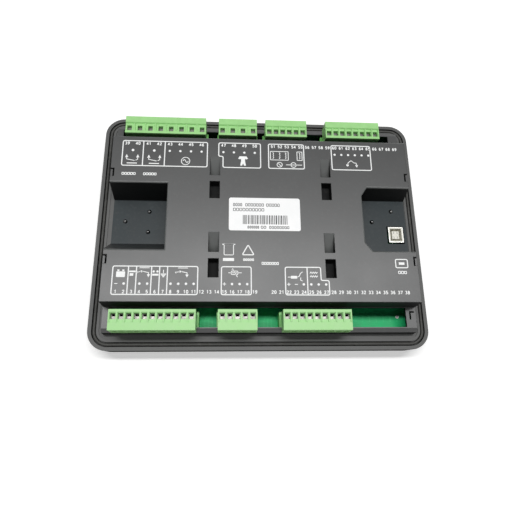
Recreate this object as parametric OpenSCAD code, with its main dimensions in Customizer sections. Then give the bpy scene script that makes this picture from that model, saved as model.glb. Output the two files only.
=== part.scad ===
// Genset controller, lying on its front: X to the right, Y away, Z from the front face to the rear.
// All sizes are millimetres. The origin is the middle of the front rim's plane.

/* [Panel and bezel] */
// Width of the panel cut-out that the rear case passes through
cutout_w = 220; // [212:1:240]
// Depth of the panel cut-out
cutout_d = 160; // [156:1:180]
// How far the bezel reaches past the cut-out at each end
overlap_x = 10; // [9.5:0.1:14]
// How far the bezel reaches past the cut-out on each long side
overlap_y = 10.5; // [9.5:0.1:14]
// Height of the bezel wall, from the front rim to the panel
bezel_h = 18.3; // [17.6:0.1:19]
// Corner radius of the bezel
bezel_r = 14; // [12:0.5:18]
// Rounding of the bezel's front edge
front_edge_r = 1.6; // [0.8:0.1:2.2]
// How far the bezel's wall draws in from the lip to the front
bezel_draft = 1; // [0.4:0.1:1.2]
// Width of the bezel's rear lip
lip_w = 2.6; // [2.2:0.1:3]
// Ledge inside the bezel wall that the rear case sits on
ledge_w = 1; // [0.6:0.1:1.6]
// Thickness of the front plate, from the rim's plane
plate_t = 3.4; // [2.8:0.1:3.6]
// Width of the raised rim round the front overlay
overlay_rim = 7; // [5:0.5:9]
// How far the overlay lies behind the rim's plane
overlay_drop = 0.7; // [0.5:0.1:0.9]
// Thickness of the overlay film
overlay_t = 0.5; // [0.3:0.1:0.7]

/* [Seal] */
// Width of the gasket channel
channel_w = 3.4; // [3:0.1:3.8]
// Depth of the gasket channel below the lip
channel_depth = 2.1; // [1.5:0.1:2.6]
// Width of the gasket
gasket_w = 2.2; // [1.6:0.1:2.8]
// Width of the inner lip beside the gasket
inner_lip_w = 1.8; // [1.4:0.1:2]
// Thickness of the rear case's flange
flange_t = 2.2; // [1.8:0.1:2.6]
// Drop from the inner lip to the deck round the rear case
deck_drop = 0.4; // [0.2:0.1:1.8]

/* [Rear case] */
// Height of the rear face above the front rim
case_h = 41.7; // [40:0.1:48]
// Gap between the rear case and the cut-out on each side
cutout_gap = 0.8; // [0.6:0.1:1.2]
// Inset of the end walls from the deck to the rear face
side_draft = 1.5; // [0.5:0.1:2.5]
// Inset of the raised block's long walls over their height
block_draft = 0.3; // [0.1:0.1:0.8]
// Wall thickness of the rear case
wall = 2.2; // [1.8:0.1:2.6]
// Height of the terminal deck above the front rim
terminal_deck_z = 26.5; // [26:0.1:27]
// Width of the wall outside each terminal trough
trough_rim = 3.4; // [2.6:0.1:4]
// Flat top of that wall, before it slopes down outward
rim_flat = 0.6; // [0.4:0.1:1.2]
// Drop of the slope
rim_drop = 1.6; // [0.8:0.1:1.8]
// Ledge at each end of a terminal trough
trough_end = 7.7; // [6:0.1:9]
// Opening left free past the left end of each row
trough_free = 3; // [1:0.1:3.6]
// Ledge between the raised block and the trough
trough_ledge = 0.8; // [0.6:0.1:2.4]

/* [Wiring bays] */
// Length of the left bay from the end of the case
left_bay_l = 41.9; // [37:0.1:49]
// Far edge of the left bay at the rear face
left_bay_far = 24.5; // [20:0.5:25]
// Near edge of the left bay at the rear face
left_bay_near = -25.2; // [-26:0.2:-22]
// How far the left bay's far wall leans in over its height
left_far_lean = 3.7; // [1:0.1:5]
// How far the left bay's near wall leans in over its height
left_near_lean = 11.7; // [8:0.1:13]
// Height of the left bay's floor
left_floor_z = 18.3; // [17.6:0.1:22]
// Length of the right bay from the end of the case
right_bay_l = 37.2; // [33:0.1:43]
// Far edge of the right bay
right_bay_far = 23.6; // [20:0.2:25]
// Near edge of the right bay
right_bay_near = -25; // [-26:0.2:-22]
// Chamfer of the right bay's inner corners along X
right_chamfer_x = 5; // [2:0.5:8]
// Chamfer of the right bay's inner corners along Y
right_chamfer_y = 6.5; // [2:0.5:9]
// Height of the right bay's floor
right_floor_z = 25.4; // [25:0.1:28]
// How far the right bay's far wall leans in over its height
right_far_lean = 3.4; // [1:0.1:5]
// Diameter of the domed pips on the bay floors
pip_dia = 3.2; // [2:0.1:4]

/* [Cable tie anchors] */
// Middle of the left pair of anchors
tie_left_x = -34; // [-45:0.5:-25]
// Middle of the right pair of anchors
tie_right_x = 46.4; // [40:0.2:55]
// Distance of the bridges from the middle of the case
tie_y = 28.9; // [27:0.1:31]
// Width of an anchor
tie_w = 7; // [5:0.5:9]
// Length of the sloping ramp
tie_ramp = 14.3; // [10:0.1:16]
// Length of the bridge along the tie
tie_bridge = 4.9; // [3:0.1:6]
// Length of the open slot past the bridge
tie_slot = 13.1; // [8:0.1:15]
// Depth of the slot
tie_depth = 7; // [6.4:0.1:8]

/* [Clip slots] */
// Distance of the fixing clip slots from the middle
clip_y = 32.2; // [30:0.1:36]
// Width of a clip slot
clip_w = 6.2; // [5:0.1:8]
// Depth of a clip slot at the rear face
clip_depth = 2.6; // [1.5:0.1:3.2]
// Height of the foot of a clip slot
clip_foot_z = 21; // [19:0.5:24]

/* [Terminals] */
// Pitch of the signal terminals
pitch_small = 5.08; // [5:0.01:5.2]
// Pitch of the mains terminals
pitch_large = 7.62; // [7.5:0.01:7.8]
// Depth of a plug across the row
plug_d = 13.8; // [13.4:0.1:15.6]
// Rear face of the plugs above the front rim
plug_top_z = 39.3; // [38.4:0.1:40]
// Gap under a plug's overhang
plug_seat_gap = 0.5; // [0.3:0.1:0.8]
// Plug's end wall past its last terminal
plug_end = 2.85; // [2.5:0.05:3.2]
// Width of the plugs' inner band, which holds the wire entries
plug_band = 8.4; // [7.6:0.1:8.8]
// Depth of the pocket round a wire entry
pocket_depth = 0.9; // [0.4:0.1:1.4]
// Rib between two pockets
pocket_rib = 1; // [0.8:0.1:1.4]
// Plug's inner face from the header's inner face
plug_inset = 1.1; // [0.5:0.1:1.4]
// Depth of a header across the row
header_d = 10.8; // [10.4:0.1:11]
// Height of a header
header_h = 10.6; // [9.6:0.1:10.8]
// Wall of a header
header_wall = 1.4; // [1:0.1:1.5]
// Floor of a header
header_floor = 2; // [1.4:0.1:2.4]
// Gap between a header and the trough's outer wall
header_gap = 0.4; // [0.3:0.1:0.8]
// Gap between a header and the ledge of the block
trough_spare = 2.5; // [0.8:0.1:3]
// Side of a square contact pin
pin_side = 1; // [0.8:0.1:1.2]
// Width of a wire entry
entry_w = 3.4; // [3:0.1:3.6]
// Length of a wire entry across the row
entry_d = 4; // [3.8:0.1:4.4]
// Diameter of a clamp screw's shank
screw_dia = 2.6; // [2.2:0.1:2.8]
// Diameter of a clamp screw's head
screw_head_dia = 3.8; // [3.4:0.1:4]

/* [Boards] */
// Thickness of the boards
board_t = 1.6; // [1.2:0.1:2]
// Height of the display board's front face
display_board_z = 7.2; // [7:0.1:7.6]
// Gap between the two boards
board_gap = 2.6; // [2.2:0.1:3]
// Gap from the main board's edge to the case's skirt
board_margin = 1.2; // [0.8:0.1:2]
// Inset of the display board's ends from the main board
display_inset_x = 7.8; // [7:0.1:10]
// Inset of the display board's long sides from the main board
display_inset_y = 11.8; // [8:0.1:13]
// Diameter of a board boss
boss_dia = 7; // [6:0.1:7.6]
// Diameter of a board screw's shank
board_screw_dia = 2.9; // [2.4:0.1:3.2]

/* [Front] */
// Gap between the display opening and the nearest key
window_gap = 12; // [9:0.5:18]
// Depth of the display opening
window_d = 44; // [36:1:48]
// Distance of the display from the middle
window_y = 26; // [22:1:28]
// Diameter of a mode key
key_dia = 15; // [11:0.5:17]
// Spacing of the mode keys
key_step = 34; // [28:1:40]
// Distance of the mode keys from the middle
key_y = -50; // [-54:1:-40]
// Diameter of a navigation key
nav_dia = 10; // [8:0.5:11]
// Spacing of the navigation keys
nav_step = 14; // [13:0.5:17]
// Distance of the middle navigation key from the bezel's end
nav_end = 50; // [46:1:54]
// Travel of a key
key_travel = 0.7; // [0.4:0.1:0.8]
// Diameter of an indicator lamp
lamp_dia = 3; // [2.4:0.1:4]

/* [Clearances] */
// Gap round a fixed piece in its seat
fit_gap = 0.3; // [0.2:0.05:0.4]
// Gap round a key in its hole
key_gap = 0.3; // [0.2:0.05:0.4]
// Gap round the data socket in the bay's floor
usb_gap = 0.9; // [0.5:0.1:1.2]
// Smallest gap at a face that is only just clear
face_gap = 0.1; // [0.05:0.05:0.2]

/* [Label] */
// Width of the rating label
label_w = 50.3; // [40:0.1:56]
// Depth of the rating label
label_d = 24.7; // [20:0.1:28]
// Thickness of the rating label
label_t = 0.15; // [0.1:0.05:0.3]

/* [Hidden] */
$fn = 48;
eps = 0.01;
cut = 1;

// Bezel and flange, from the outside in
bezel_w = cutout_w + 2 * overlap_x;
bezel_d = cutout_d + 2 * overlap_y;
flange_top_z = bezel_h - channel_depth;
flange_z = flange_top_z - flange_t;
flange_in = lip_w + fit_gap;
inner_lip_in = lip_w + channel_w;
deck_in = inner_lip_in + inner_lip_w;
deck_z = bezel_h - deck_drop;
overlay_back_z = overlay_drop + overlay_t;

// Rear case
case_w = cutout_w - 2 * cutout_gap;
case_d = cutout_d - 2 * cutout_gap;
trough_out = case_d / 2 - trough_rim;
row_y = trough_out - header_gap - header_d / 2;
trough_in = row_y - header_d / 2 - trough_spare;
block_d = 2 * (trough_in - trough_ledge);
trough_half = case_w / 2 - trough_end;
left_bay_x = left_bay_l - case_w / 2;
right_bay_x = case_w / 2 - right_bay_l;

// Small features of the rear case
tie_bridge_t = 2.2;
latch_inset = 2.4;
latch_slot = 1.2;
latch_l = 6;
latch_foot = 3.6;
LEFT_PIPS = [[-15.5, 11.8], [-32.7, 3.8], [-15.7, -4.3]];
RIGHT_PIPS = [[26.5, 11.8], [11.1, 3.1]];
label_x = 1.4;
label_y = 1.4;
label_r = 1.5;

// Boards and what stands on them
board_r = 2;
boss_clear = 0.5;
boss_floor = 0.4;
link_w = 40;
link_d = 5;
link_y = -20;
board_head_dia = 5.4;
board_head_h = 1.8;
board_screw_l = 5;
recess_l = 3;
recess_w = 0.8;
recess_h = 1;
relay_w = 19;
relay_d = 15.5;
relay_h = 15.2;
relay_step = 24;
relay_y = 36;
capacitor_dia = 12.5;
capacitor_h = 16;
capacitor_x = -20;
capacitor_y = -46;
capacitor_step = 18;
chip_w = 20;
chip_h = 1.6;
chip_l = 10;
chip_step = 22;

// Data socket in the right bay
usb_end = 8.9;
usb_y = -7;
usb_w = 11;
usb_d = 12;
usb_stand = 1;
usb_shell_t = 0.4;
usb_rim = 0.9;
usb_well = 9;
usb_tongue_gap = 1.6;
usb_tongue_drop = 1;

main_board_z = display_board_z + board_t + board_gap;
board_top_z = main_board_z + board_t;
main_board_w = case_w - 2 * wall - 2 * board_margin;
main_board_d = case_d - 2 * wall - 2 * board_margin;
display_board_w = main_board_w - 2 * display_inset_x;
display_board_d = main_board_d - 2 * display_inset_y;
boss_x = display_board_w / 2 + boss_dia / 2 + boss_clear;
boss_y = 40;
display_boss_x = display_board_w / 2 - boss_dia;
display_boss_y = display_board_d / 2 - boss_dia;

// Terminal rows: ways and pitch of each plug, and the share of the free length that lies before it
NEAR_ROW = [[11, pitch_small, 0], [5, pitch_small, 0.197], [9, pitch_small, 0.235]];
FAR_ROW = [
    [8, pitch_large, 0.025],
    [4, pitch_large, 0.222],
    [6, pitch_small, 0.151],
    [8, pitch_small, 0.34]
];
function plug_l(p) = (p[0] - 1) * p[1] + 2 * plug_end;
function length_to(row, i) = i < 0 ? 0 : plug_l(row[i]) + length_to(row, i - 1);
function share_to(row, i) = i < 0 ? 0 : row[i][2] + share_to(row, i - 1);
function free_l(row) = 2 * trough_half - length_to(row, len(row) - 1);
function first_x(row, i) = share_to(row, i) * free_l(row) + length_to(row, i - 1) + plug_end - trough_half;

// All plugs: ways, pitch, X of the first terminal, side of the case
BLOCKS = concat(
    [for (i = [0 : len(NEAR_ROW) - 1]) [NEAR_ROW[i][0], NEAR_ROW[i][1], first_x(NEAR_ROW, i), -1]],
    [for (i = [0 : len(FAR_ROW) - 1]) [FAR_ROW[i][0], FAR_ROW[i][1], first_x(FAR_ROW, i), 1]]
);
header_end_wall = 1.2;
neck_inset = 0.95;
header_end = plug_end + header_end_wall;
neck_end = plug_end - neck_inset;
pin_reach = 7;
header_top_z = board_top_z + header_h;
plug_in = row_y - header_d / 2 + plug_inset;
plug_out = plug_in + plug_d;
plug_step_y = plug_in + plug_band;
groove = 0.4;
plug_z = terminal_deck_z + plug_seat_gap;
plug_foot_z = board_top_z + header_floor + fit_gap;
plug_neck = header_d / 2 - header_wall - fit_gap;
pin_top_z = plug_foot_z + pin_reach;
pin_room = 2 * pin_side;
entry_inset = 2.4;
entry_in = plug_in + entry_inset;
entry_out = entry_in + entry_d;
pocket_wall = 1.9;
pocket_in = plug_in + pocket_wall;
cage_foot = 1.2;
cage_cover = 3.6;
cage_z = plug_z + cage_foot;
cage_top_z = plug_top_z - cage_cover;
cage_wire_d = entry_d * 0.46;
screw_bite = 0.6;
screw_seat = 3.2;
screw_z = (cage_z + cage_top_z) / 2;
screw_tip = entry_in + cage_wire_d + screw_bite;
screw_head_in = plug_out - screw_seat;
screw_head_h = 1.8;
slot_w = 0.6;
slot_h = 0.7;
cage_gap = 0.05;
cage_t = 0.4;
tail_w = 1.6;
tail_y = row_y + pin_room / 2 - cage_t;
tail_lift = 1.5;

// Display and lamps
nav_x = nav_end - bezel_w / 2;
window_w = -2 * (nav_x + nav_step + nav_dia / 2 + window_gap);
window_lap = 3;
lcd_margin = 5;
lcd_frame_t = 0.6;
lamp_step = 12;

// Keys
key_stand = 0.4;
key_front_z = overlay_drop - key_stand;
key_flange_z = plate_t + face_gap;
key_flange_t = 0.7;
key_flange_w = 0.8;
plunger_z = key_flange_z + key_flange_t + key_travel + face_gap;
switch_side = 6;
plunger_l = 0.4;
switch_body_z = plunger_z + plunger_l;
plunger_dia = 3.4;
MODE_KEYS = ["stop_key", "manual_key", "auto_key", "mute_key", "start_key"];
NAV_KEYS = ["accept_key", "up_key", "down_key", "left_key", "right_key"];
NAV_PLACES = [[0, 0], [0, 1], [0, -1], [1, 0], [-1, 0]];
function mode_place(i) = [(2 - i) * key_step, key_y];
function nav_place(i) = [nav_x, window_y] + nav_step * NAV_PLACES[i];

// Rounded rectangle of straight and round pieces
module rounded_rect(w, d, r) {
    square([w - 2 * r, d], center = true);
    square([w, d - 2 * r], center = true);
    for (x = [-1, 1], y = [-1, 1])
        translate([x * (w / 2 - r), y * (d / 2 - r)]) circle(r);
}

// Rounded slab between two heights, drawn in from the bezel's outline
module bezel_slab(inset, z0, z1) {
    translate([0, 0, z0])
        linear_extrude(z1 - z0)
            rounded_rect(bezel_w - 2 * inset, bezel_d - 2 * inset, bezel_r - inset);
}

// Box between two corners
module block(low, high) {
    translate(low) cube(high - low);
}

// Sweeps a profile round the bezel, its X measured outward from the corner's middle
module bezel_sweep() {
    turn_x = bezel_w / 2 - bezel_r;
    turn_y = bezel_d / 2 - bezel_r;
    for (i = [0 : 3]) {
        place = [(i == 0 || i == 3) ? turn_x : -turn_x, i < 2 ? turn_y : -turn_y, 0];
        translate(place) rotate(90 * i) rotate_extrude(angle = 90) children();
    }
    for (flip = [0, 1]) {
        mirror([flip, 0, 0])
            translate([turn_x, 0, 0])
                rotate([90, 0, 0]) linear_extrude(2 * turn_y, center = true) children();
        mirror([0, flip, 0])
            translate([0, turn_y, 0])
                rotate([90, 0, 90]) linear_extrude(2 * turn_x, center = true) children();
    }
}

// Turns what is drawn on the far side of the case to the side asked for
module on_side(side) {
    mirror([0, side < 0 ? 1 : 0, 0]) children();
}

// Places of the four board bosses of one board
module at_corners(x, y) {
    for (i = [-1, 1], j = [-1, 1])
        translate([i * x, j * y, 0]) children();
}

// Places of the keys and lamps
module at_mode_keys() {
    for (i = [0 : len(MODE_KEYS) - 1]) translate(mode_place(i)) children();
}

module at_nav_keys() {
    for (i = [0 : len(NAV_KEYS) - 1]) translate(nav_place(i)) children();
}

module at_lamps() {
    for (i = [0 : len(MODE_KEYS) - 1])
        translate(mode_place(i) + [0, key_dia / 2 + lamp_step / 2]) children();
    for (i = [-1.5 : 1.5]) translate([-nav_x, window_y + i * lamp_step]) children();
}

// Holes through the front for keys and lamps
module front_holes(z0, z1) {
    translate([0, 0, z0]) {
        at_mode_keys() cylinder(d = key_dia + 2 * key_gap, h = z1 - z0);
        at_nav_keys() cylinder(d = nav_dia + 2 * key_gap, h = z1 - z0);
        at_lamps() cylinder(d = lamp_dia + 2 * fit_gap, h = z1 - z0);
    }
}

// Rectangular opening of the display, widened by a margin
module window_block(margin, z0, z1) {
    x = window_w / 2 + margin;
    y = window_d / 2 + margin;
    block([-x, window_y - y, z0], [x, window_y + y, z1]);
}

// Wall section of the bezel with its ledge and rounded front edge
module bezel_profile() {
    e = front_edge_r;
    front = bezel_r - bezel_draft;
    polygon([[bezel_r - lip_w, e], [front, e], [bezel_r, bezel_h], [bezel_r - lip_w, bezel_h]]);
    translate([bezel_r - lip_w - ledge_w, 0]) square([front - e - bezel_r + lip_w + ledge_w, flange_z]);
    translate([front - e, e]) circle(e);
}

// Boss with a screw hole, from the front plate to a board
module board_boss(top_z) {
    difference() {
        translate([0, 0, plate_t - eps]) cylinder(d = boss_dia, h = top_z - plate_t + eps);
        translate([0, 0, plate_t + boss_floor]) cylinder(d = board_screw_dia + face_gap, h = top_z);
    }
}

module front_bezel() {
    color("dimgray") {
        difference() {
            union() {
                bezel_sweep() bezel_profile();
                bezel_slab(lip_w, 0, plate_t);
            }
            bezel_slab(overlay_rim, -cut, overlay_back_z);
            window_block(window_lap + fit_gap, 0, plate_t + cut);
            front_holes(0, plate_t + cut);
        }
        at_corners(boss_x, boss_y) board_boss(main_board_z);
        at_corners(display_boss_x, display_boss_y) board_boss(display_board_z);
    }
}

module front_overlay() {
    color("darkslategray")
        difference() {
            bezel_slab(overlay_rim + fit_gap, overlay_drop, overlay_back_z);
            window_block(0, 0, plate_t);
            front_holes(0, plate_t);
        }
}

module display_window() {
    color("lightsteelblue") window_block(window_lap, overlay_back_z, plate_t - face_gap);
}

// Display with its metal frame round the viewing area
module lcd_module() {
    color("silver")
        difference() {
            window_block(lcd_margin, plate_t + face_gap, display_board_z);
            window_block(0, plate_t, plate_t + face_gap + lcd_frame_t);
        }
}

module panel_gasket() {
    middle = bezel_r - lip_w - channel_w / 2;
    round_z = bezel_h - gasket_w / 2;
    color("black")
        bezel_sweep() {
            intersection() {
                translate([middle - gasket_w / 2, flange_top_z]) square([gasket_w, channel_depth]);
                union() {
                    translate([middle - gasket_w / 2, flange_top_z])
                        square([gasket_w, round_z - flange_top_z]);
                    translate([middle, round_z]) circle(d = gasket_w);
                }
            }
        }
}

// Half width of the rear case at a height
function end_x(z) = case_w / 2 - side_draft * (z - deck_z) / (case_h - deck_z);

// Rear case without its bays, drawn in by a wall
module case_body(inset, foot_z) {
    top_z = case_h - inset;
    step_z = terminal_deck_z - inset;
    low_x = end_x(foot_z) - inset;
    high_x = end_x(top_z) - inset;
    side_y = case_d / 2 - inset;
    rim_y = trough_out + rim_flat - inset;
    foot_y = block_d / 2 + block_draft - inset;
    high_y = block_d / 2 - inset;
    ends = [[-low_x, foot_z], [low_x, foot_z], [high_x, top_z], [-high_x, top_z]];
    rim = [[side_y, foot_z], [side_y, step_z - rim_drop], [rim_y, step_z]];
    half = concat(rim, [[foot_y, step_z], [high_y, top_z]]);
    steps = concat(half, [for (i = [len(half) - 1 : -1 : 0]) [-half[i][0], half[i][1]]]);
    intersection() {
        rotate([90, 0, 0]) linear_extrude(case_d + 2 * cut, center = true) polygon(ends);
        rotate([90, 0, 90]) linear_extrude(case_w + 4 * cut, center = true) polygon(steps);
    }
}

// Left wiring bay, open at the end of the case, grown by a wall
module left_bay(grow) {
    far_slope = left_far_lean / (case_h - left_floor_z);
    near_slope = left_near_lean / (case_h - left_floor_z);
    low = left_floor_z - grow;
    high = case_h + cut;
    far_out = grow * sqrt(1 + far_slope * far_slope);
    near_out = grow * sqrt(1 + near_slope * near_slope);
    section = [
        [left_bay_near + near_slope * (case_h - low) - near_out, low],
        [left_bay_far - far_slope * (case_h - low) + far_out, low],
        [left_bay_far + far_slope * cut + far_out, high],
        [left_bay_near - near_slope * cut - near_out, high]
    ];
    end = case_w / 2 + cut;
    translate([-end, 0, 0]) rotate([90, 0, 90]) linear_extrude(left_bay_x + grow + end) polygon(section);
}

// Right wiring bay with chamfered inner corners and a leaning far wall, grown by a wall
module right_bay(grow) {
    slope = right_far_lean / (case_h - right_floor_z);
    low = right_floor_z - grow;
    high = case_h + cut;
    far_out = right_bay_far + grow * sqrt(1 + slope * slope);
    section = [
        [right_bay_near - grow, low],
        [far_out - slope * (case_h - low), low],
        [far_out + slope * cut, high],
        [right_bay_near - grow, high]
    ];
    reach = right_bay_far + grow + cut;
    end = case_w / 2 + cut;
    plan = [
        [end, right_bay_near - grow],
        [end, reach],
        [right_bay_x + right_chamfer_x, reach],
        [right_bay_x - grow, right_bay_far - right_chamfer_y],
        [right_bay_x - grow, right_bay_near + right_chamfer_y],
        [right_bay_x + right_chamfer_x, right_bay_near - grow]
    ];
    intersection() {
        translate([0, 0, low - cut]) linear_extrude(high - low + 2 * cut) polygon(plan);
        rotate([90, 0, 90]) linear_extrude(end) polygon(section);
    }
}

// Channel of one cable tie anchor, grown by a wall, with its bridge left standing
module tie_channel(grow) {
    slot_end = -tie_bridge / 2 - tie_slot - grow;
    ramp_foot = tie_bridge / 2;
    ramp_end = ramp_foot + tie_ramp;
    floor_z = case_h - tie_depth - grow;
    top = case_h + cut;
    slot = [[slot_end, top], [slot_end, floor_z], [ramp_foot, floor_z]];
    section = concat(slot, [[ramp_end, case_h - grow], [ramp_end, top]]);
    difference() {
        rotate([90, 0, 90]) linear_extrude(tie_w + 2 * grow, center = true) polygon(section);
        if (grow == 0)
            block([-tie_w, -tie_bridge / 2, case_h - tie_bridge_t], [tie_w, tie_bridge / 2, top + cut]);
    }
}

module tie_channels(grow) {
    for (x = [tie_left_x, tie_right_x], y = [-tie_y, tie_y])
        translate([x, y, 0]) tie_channel(grow);
}

// Slots for the fixing clips in the end walls, grown by a wall
module clip_slots(grow) {
    inner = end_x(case_h) - clip_depth - grow;
    half = clip_w / 2 + grow;
    for (flip = [0, 1], y = [-clip_y, clip_y])
        mirror([flip, 0, 0])
            block([inner, y - half, clip_foot_z - grow], [case_w / 2 + cut, y + half, case_h + cut]);
}

// Hollows that the rear case folds round
module case_hollows(grow) {
    left_bay(grow);
    right_bay(grow);
    clip_slots(grow);
}

// Openings over the terminal rows, with a latch slot beside the right end
module troughs() {
    low = terminal_deck_z - wall - cut;
    high = terminal_deck_z + cut;
    for (side = [-1, 1])
        on_side(side) {
            x = trough_half + latch_inset;
            y = trough_in + latch_inset;
            block([-trough_half - trough_free, trough_in, low], [trough_half, trough_out, high]);
            block([x, y, low], [x + latch_slot, y + latch_l, high]);
            block([x, y, low], [x + latch_foot, y + latch_slot, high]);
        }
}

// Flange round the foot of the rear case that closes the bezel, with its inner lip and deck
module case_flange() {
    color("dimgray")
        difference() {
            union() {
                bezel_slab(flange_in, flange_z, flange_top_z);
                bezel_slab(inner_lip_in, flange_z, bezel_h);
            }
            bezel_slab(deck_in, deck_z, bezel_h + cut);
            case_body(0, flange_z - cut);
        }
}

// Cable tie anchors, each a trough with a ramp and a bridge in the rear face
module tie_anchors() {
    color("dimgray")
        difference() {
            intersection() {
                tie_channels(wall);
                block([-case_w, -case_d, 0], [case_w, case_d, case_h]);
            }
            tie_channels(0);
        }
}

module bay_pips() {
    for (p = LEFT_PIPS)
        translate([left_bay_x + p[0], p[1], left_floor_z]) sphere(d = pip_dia);
    for (p = RIGHT_PIPS)
        translate([right_bay_x + p[0], p[1], right_floor_z]) sphere(d = pip_dia);
}

module rear_case() {
    color("dimgray") {
        difference() {
            case_body(0, flange_z);
            difference() {
                case_body(wall, flange_z - cut);
                case_hollows(wall);
            }
            case_hollows(0);
            tie_channels(wall);
            troughs();
            usb_block(usb_gap, right_floor_z - wall - cut, right_floor_z + cut);
        }
        bay_pips();
    }
}

module rating_label() {
    color("white")
        translate([label_x, label_y, case_h])
            linear_extrude(label_t) rounded_rect(label_w, label_d, label_r);
}

// Board with rounded corners and its screw holes
module board(w, d, z, hole_x, hole_y) {
    difference() {
        translate([0, 0, z]) linear_extrude(board_t) rounded_rect(w, d, board_r);
        at_corners(hole_x, hole_y)
            translate([0, 0, z - cut]) cylinder(d = board_screw_dia + 2 * fit_gap, h = board_t + 2 * cut);
    }
}

module main_board() {
    color("seagreen") board(main_board_w, main_board_d, main_board_z, boss_x, boss_y);
}

module display_board() {
    color("seagreen")
        board(display_board_w, display_board_d, display_board_z, display_boss_x, display_boss_y);
}

// Stacking connector between the two boards
module board_link() {
    low = display_board_z + board_t;
    color("black") block([-link_w / 2, link_y, low], [link_w / 2, link_y + link_d, main_board_z]);
}

// Screw seated on a board, with a cross recess
module board_screw(z) {
    translate([0, 0, z])
        difference() {
            union() {
                cylinder(d = board_head_dia, h = board_head_h);
                translate([0, 0, -board_screw_l]) cylinder(d = board_screw_dia, h = board_screw_l + eps);
            }
            for (turn = [0, 90])
                rotate(turn)
                    translate([-recess_l / 2, -recess_w / 2, board_head_h - recess_h])
                        cube([recess_l, recess_w, recess_h + cut]);
        }
}

module board_screws() {
    color("silver") {
        at_corners(boss_x, boss_y) board_screw(board_top_z);
        at_corners(display_boss_x, display_boss_y) board_screw(display_board_z + board_t);
    }
}

// Outline of the upright data socket, grown by a gap
module usb_block(grow, z0, z1) {
    x = case_w / 2 - usb_end;
    half_w = usb_w / 2 + grow;
    half_d = usb_d / 2 + grow;
    block([x - half_w, usb_y - half_d, z0], [x + half_w, usb_y + half_d, z1]);
}

module usb_shell() {
    top = right_floor_z + usb_stand;
    color("silver")
        difference() {
            usb_block(0, board_top_z, top);
            usb_block(-usb_shell_t, board_top_z - cut, top + cut);
        }
}

// Moulded inside of the socket, with a square well and its tongue
module usb_insulator() {
    top = right_floor_z + usb_stand;
    color("ivory") {
        difference() {
            usb_block(-usb_shell_t, board_top_z, top);
            usb_block(-usb_shell_t - usb_rim, top - usb_well, top + cut);
        }
        usb_block(-usb_shell_t - usb_rim - usb_tongue_gap, top - usb_well - eps, top - usb_tongue_drop);
    }
}

// Row of sealed relays along the mains side of the main board
module relays() {
    color("royalblue")
        for (i = [-3 : 2])
            translate([(i + 0.5) * relay_step - relay_w / 2, relay_y, board_top_z])
                cube([relay_w, relay_d, relay_h]);
}

module capacitors() {
    color("slategray")
        for (i = [0 : 3])
            translate([capacitor_x + i * capacitor_step, capacitor_y, board_top_z])
                cylinder(d = capacitor_dia, h = capacitor_h);
}

module chips() {
    color("black") {
        translate([-chip_w / 2, -chip_w / 2, board_top_z]) cube([chip_w, chip_w, chip_h]);
        for (i = [-1, 1])
            translate([i * chip_step - chip_l / 2, chip_w, board_top_z]) cube([chip_l, chip_l / 2, chip_h]);
    }
}

// Push switch hanging from the display board
module tact_switch() {
    translate([-switch_side / 2, -switch_side / 2, switch_body_z])
        cube([switch_side, switch_side, display_board_z - switch_body_z]);
    translate([0, 0, plunger_z]) cylinder(d = plunger_dia, h = switch_body_z - plunger_z + eps);
}

module tact_switches() {
    color("black") {
        at_mode_keys() tact_switch();
        at_nav_keys() tact_switch();
    }
}

module indicator_leds() {
    dome_z = overlay_drop + lamp_dia / 2;
    color("red")
        at_lamps()
            translate([0, 0, dome_z]) {
                cylinder(d = lamp_dia, h = display_board_z - dome_z);
                sphere(d = lamp_dia);
            }
}

// Key with a round cap and the flange that keeps it behind the plate
module round_key(dia) {
    top = key_flange_z + key_flange_t;
    translate([0, 0, key_front_z]) cylinder(d = dia, h = top - key_front_z);
    translate([0, 0, key_flange_z]) cylinder(d = dia + 2 * (key_gap + key_flange_w), h = key_flange_t);
}

module mode_key(i) {
    color(["red", "gray", "gray", "gray", "green"][i]) translate(mode_place(i)) round_key(key_dia);
}

module nav_key(i) {
    color("gray") translate(nav_place(i)) round_key(nav_dia);
}

// X of a terminal in a block, counted from 0
function pole_x(b, k) = b[2] + k * b[1];
function last_x(b) = pole_x(b, b[0] - 1);

// Places what is drawn for one terminal at every terminal of a block
module at_poles(b) {
    for (k = [0 : b[0] - 1]) translate([pole_x(b, k), 0, 0]) children();
}

// Box across a whole block, past its end terminals by a margin
module row_block(b, margin, y0, y1, z0, z1) {
    block([b[2] - margin, y0, z0], [last_x(b) + margin, y1, z1]);
}

// Upright square bar on the row's middle line
module pin_bar(side, z0, z1) {
    block([-side / 2, row_y - side / 2, z0], [side / 2, row_y + side / 2, z1]);
}

// Round hole or bar across the row at the clamp screws' height
module screw_bar(dia, y0, y1) {
    translate([0, y0, screw_z]) rotate([-90, 0, 0]) cylinder(d = dia, h = y1 - y0);
}

module header(b) {
    room = header_d / 2 - header_wall;
    color("yellowgreen")
        on_side(b[3])
            difference() {
                row_block(b, header_end, row_y - header_d / 2, row_y + header_d / 2,
                    board_top_z, header_top_z);
                row_block(b, neck_end + fit_gap, row_y - room, row_y + room,
                    board_top_z + header_floor, header_top_z + cut);
                at_poles(b)
                    pin_bar(pin_side + face_gap, board_top_z - cut, board_top_z + header_floor + cut);
            }
}

module header_pins() {
    color("gold")
        for (b = BLOCKS)
            on_side(b[3])
                at_poles(b) pin_bar(pin_side, board_top_z, pin_top_z);
}

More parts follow.
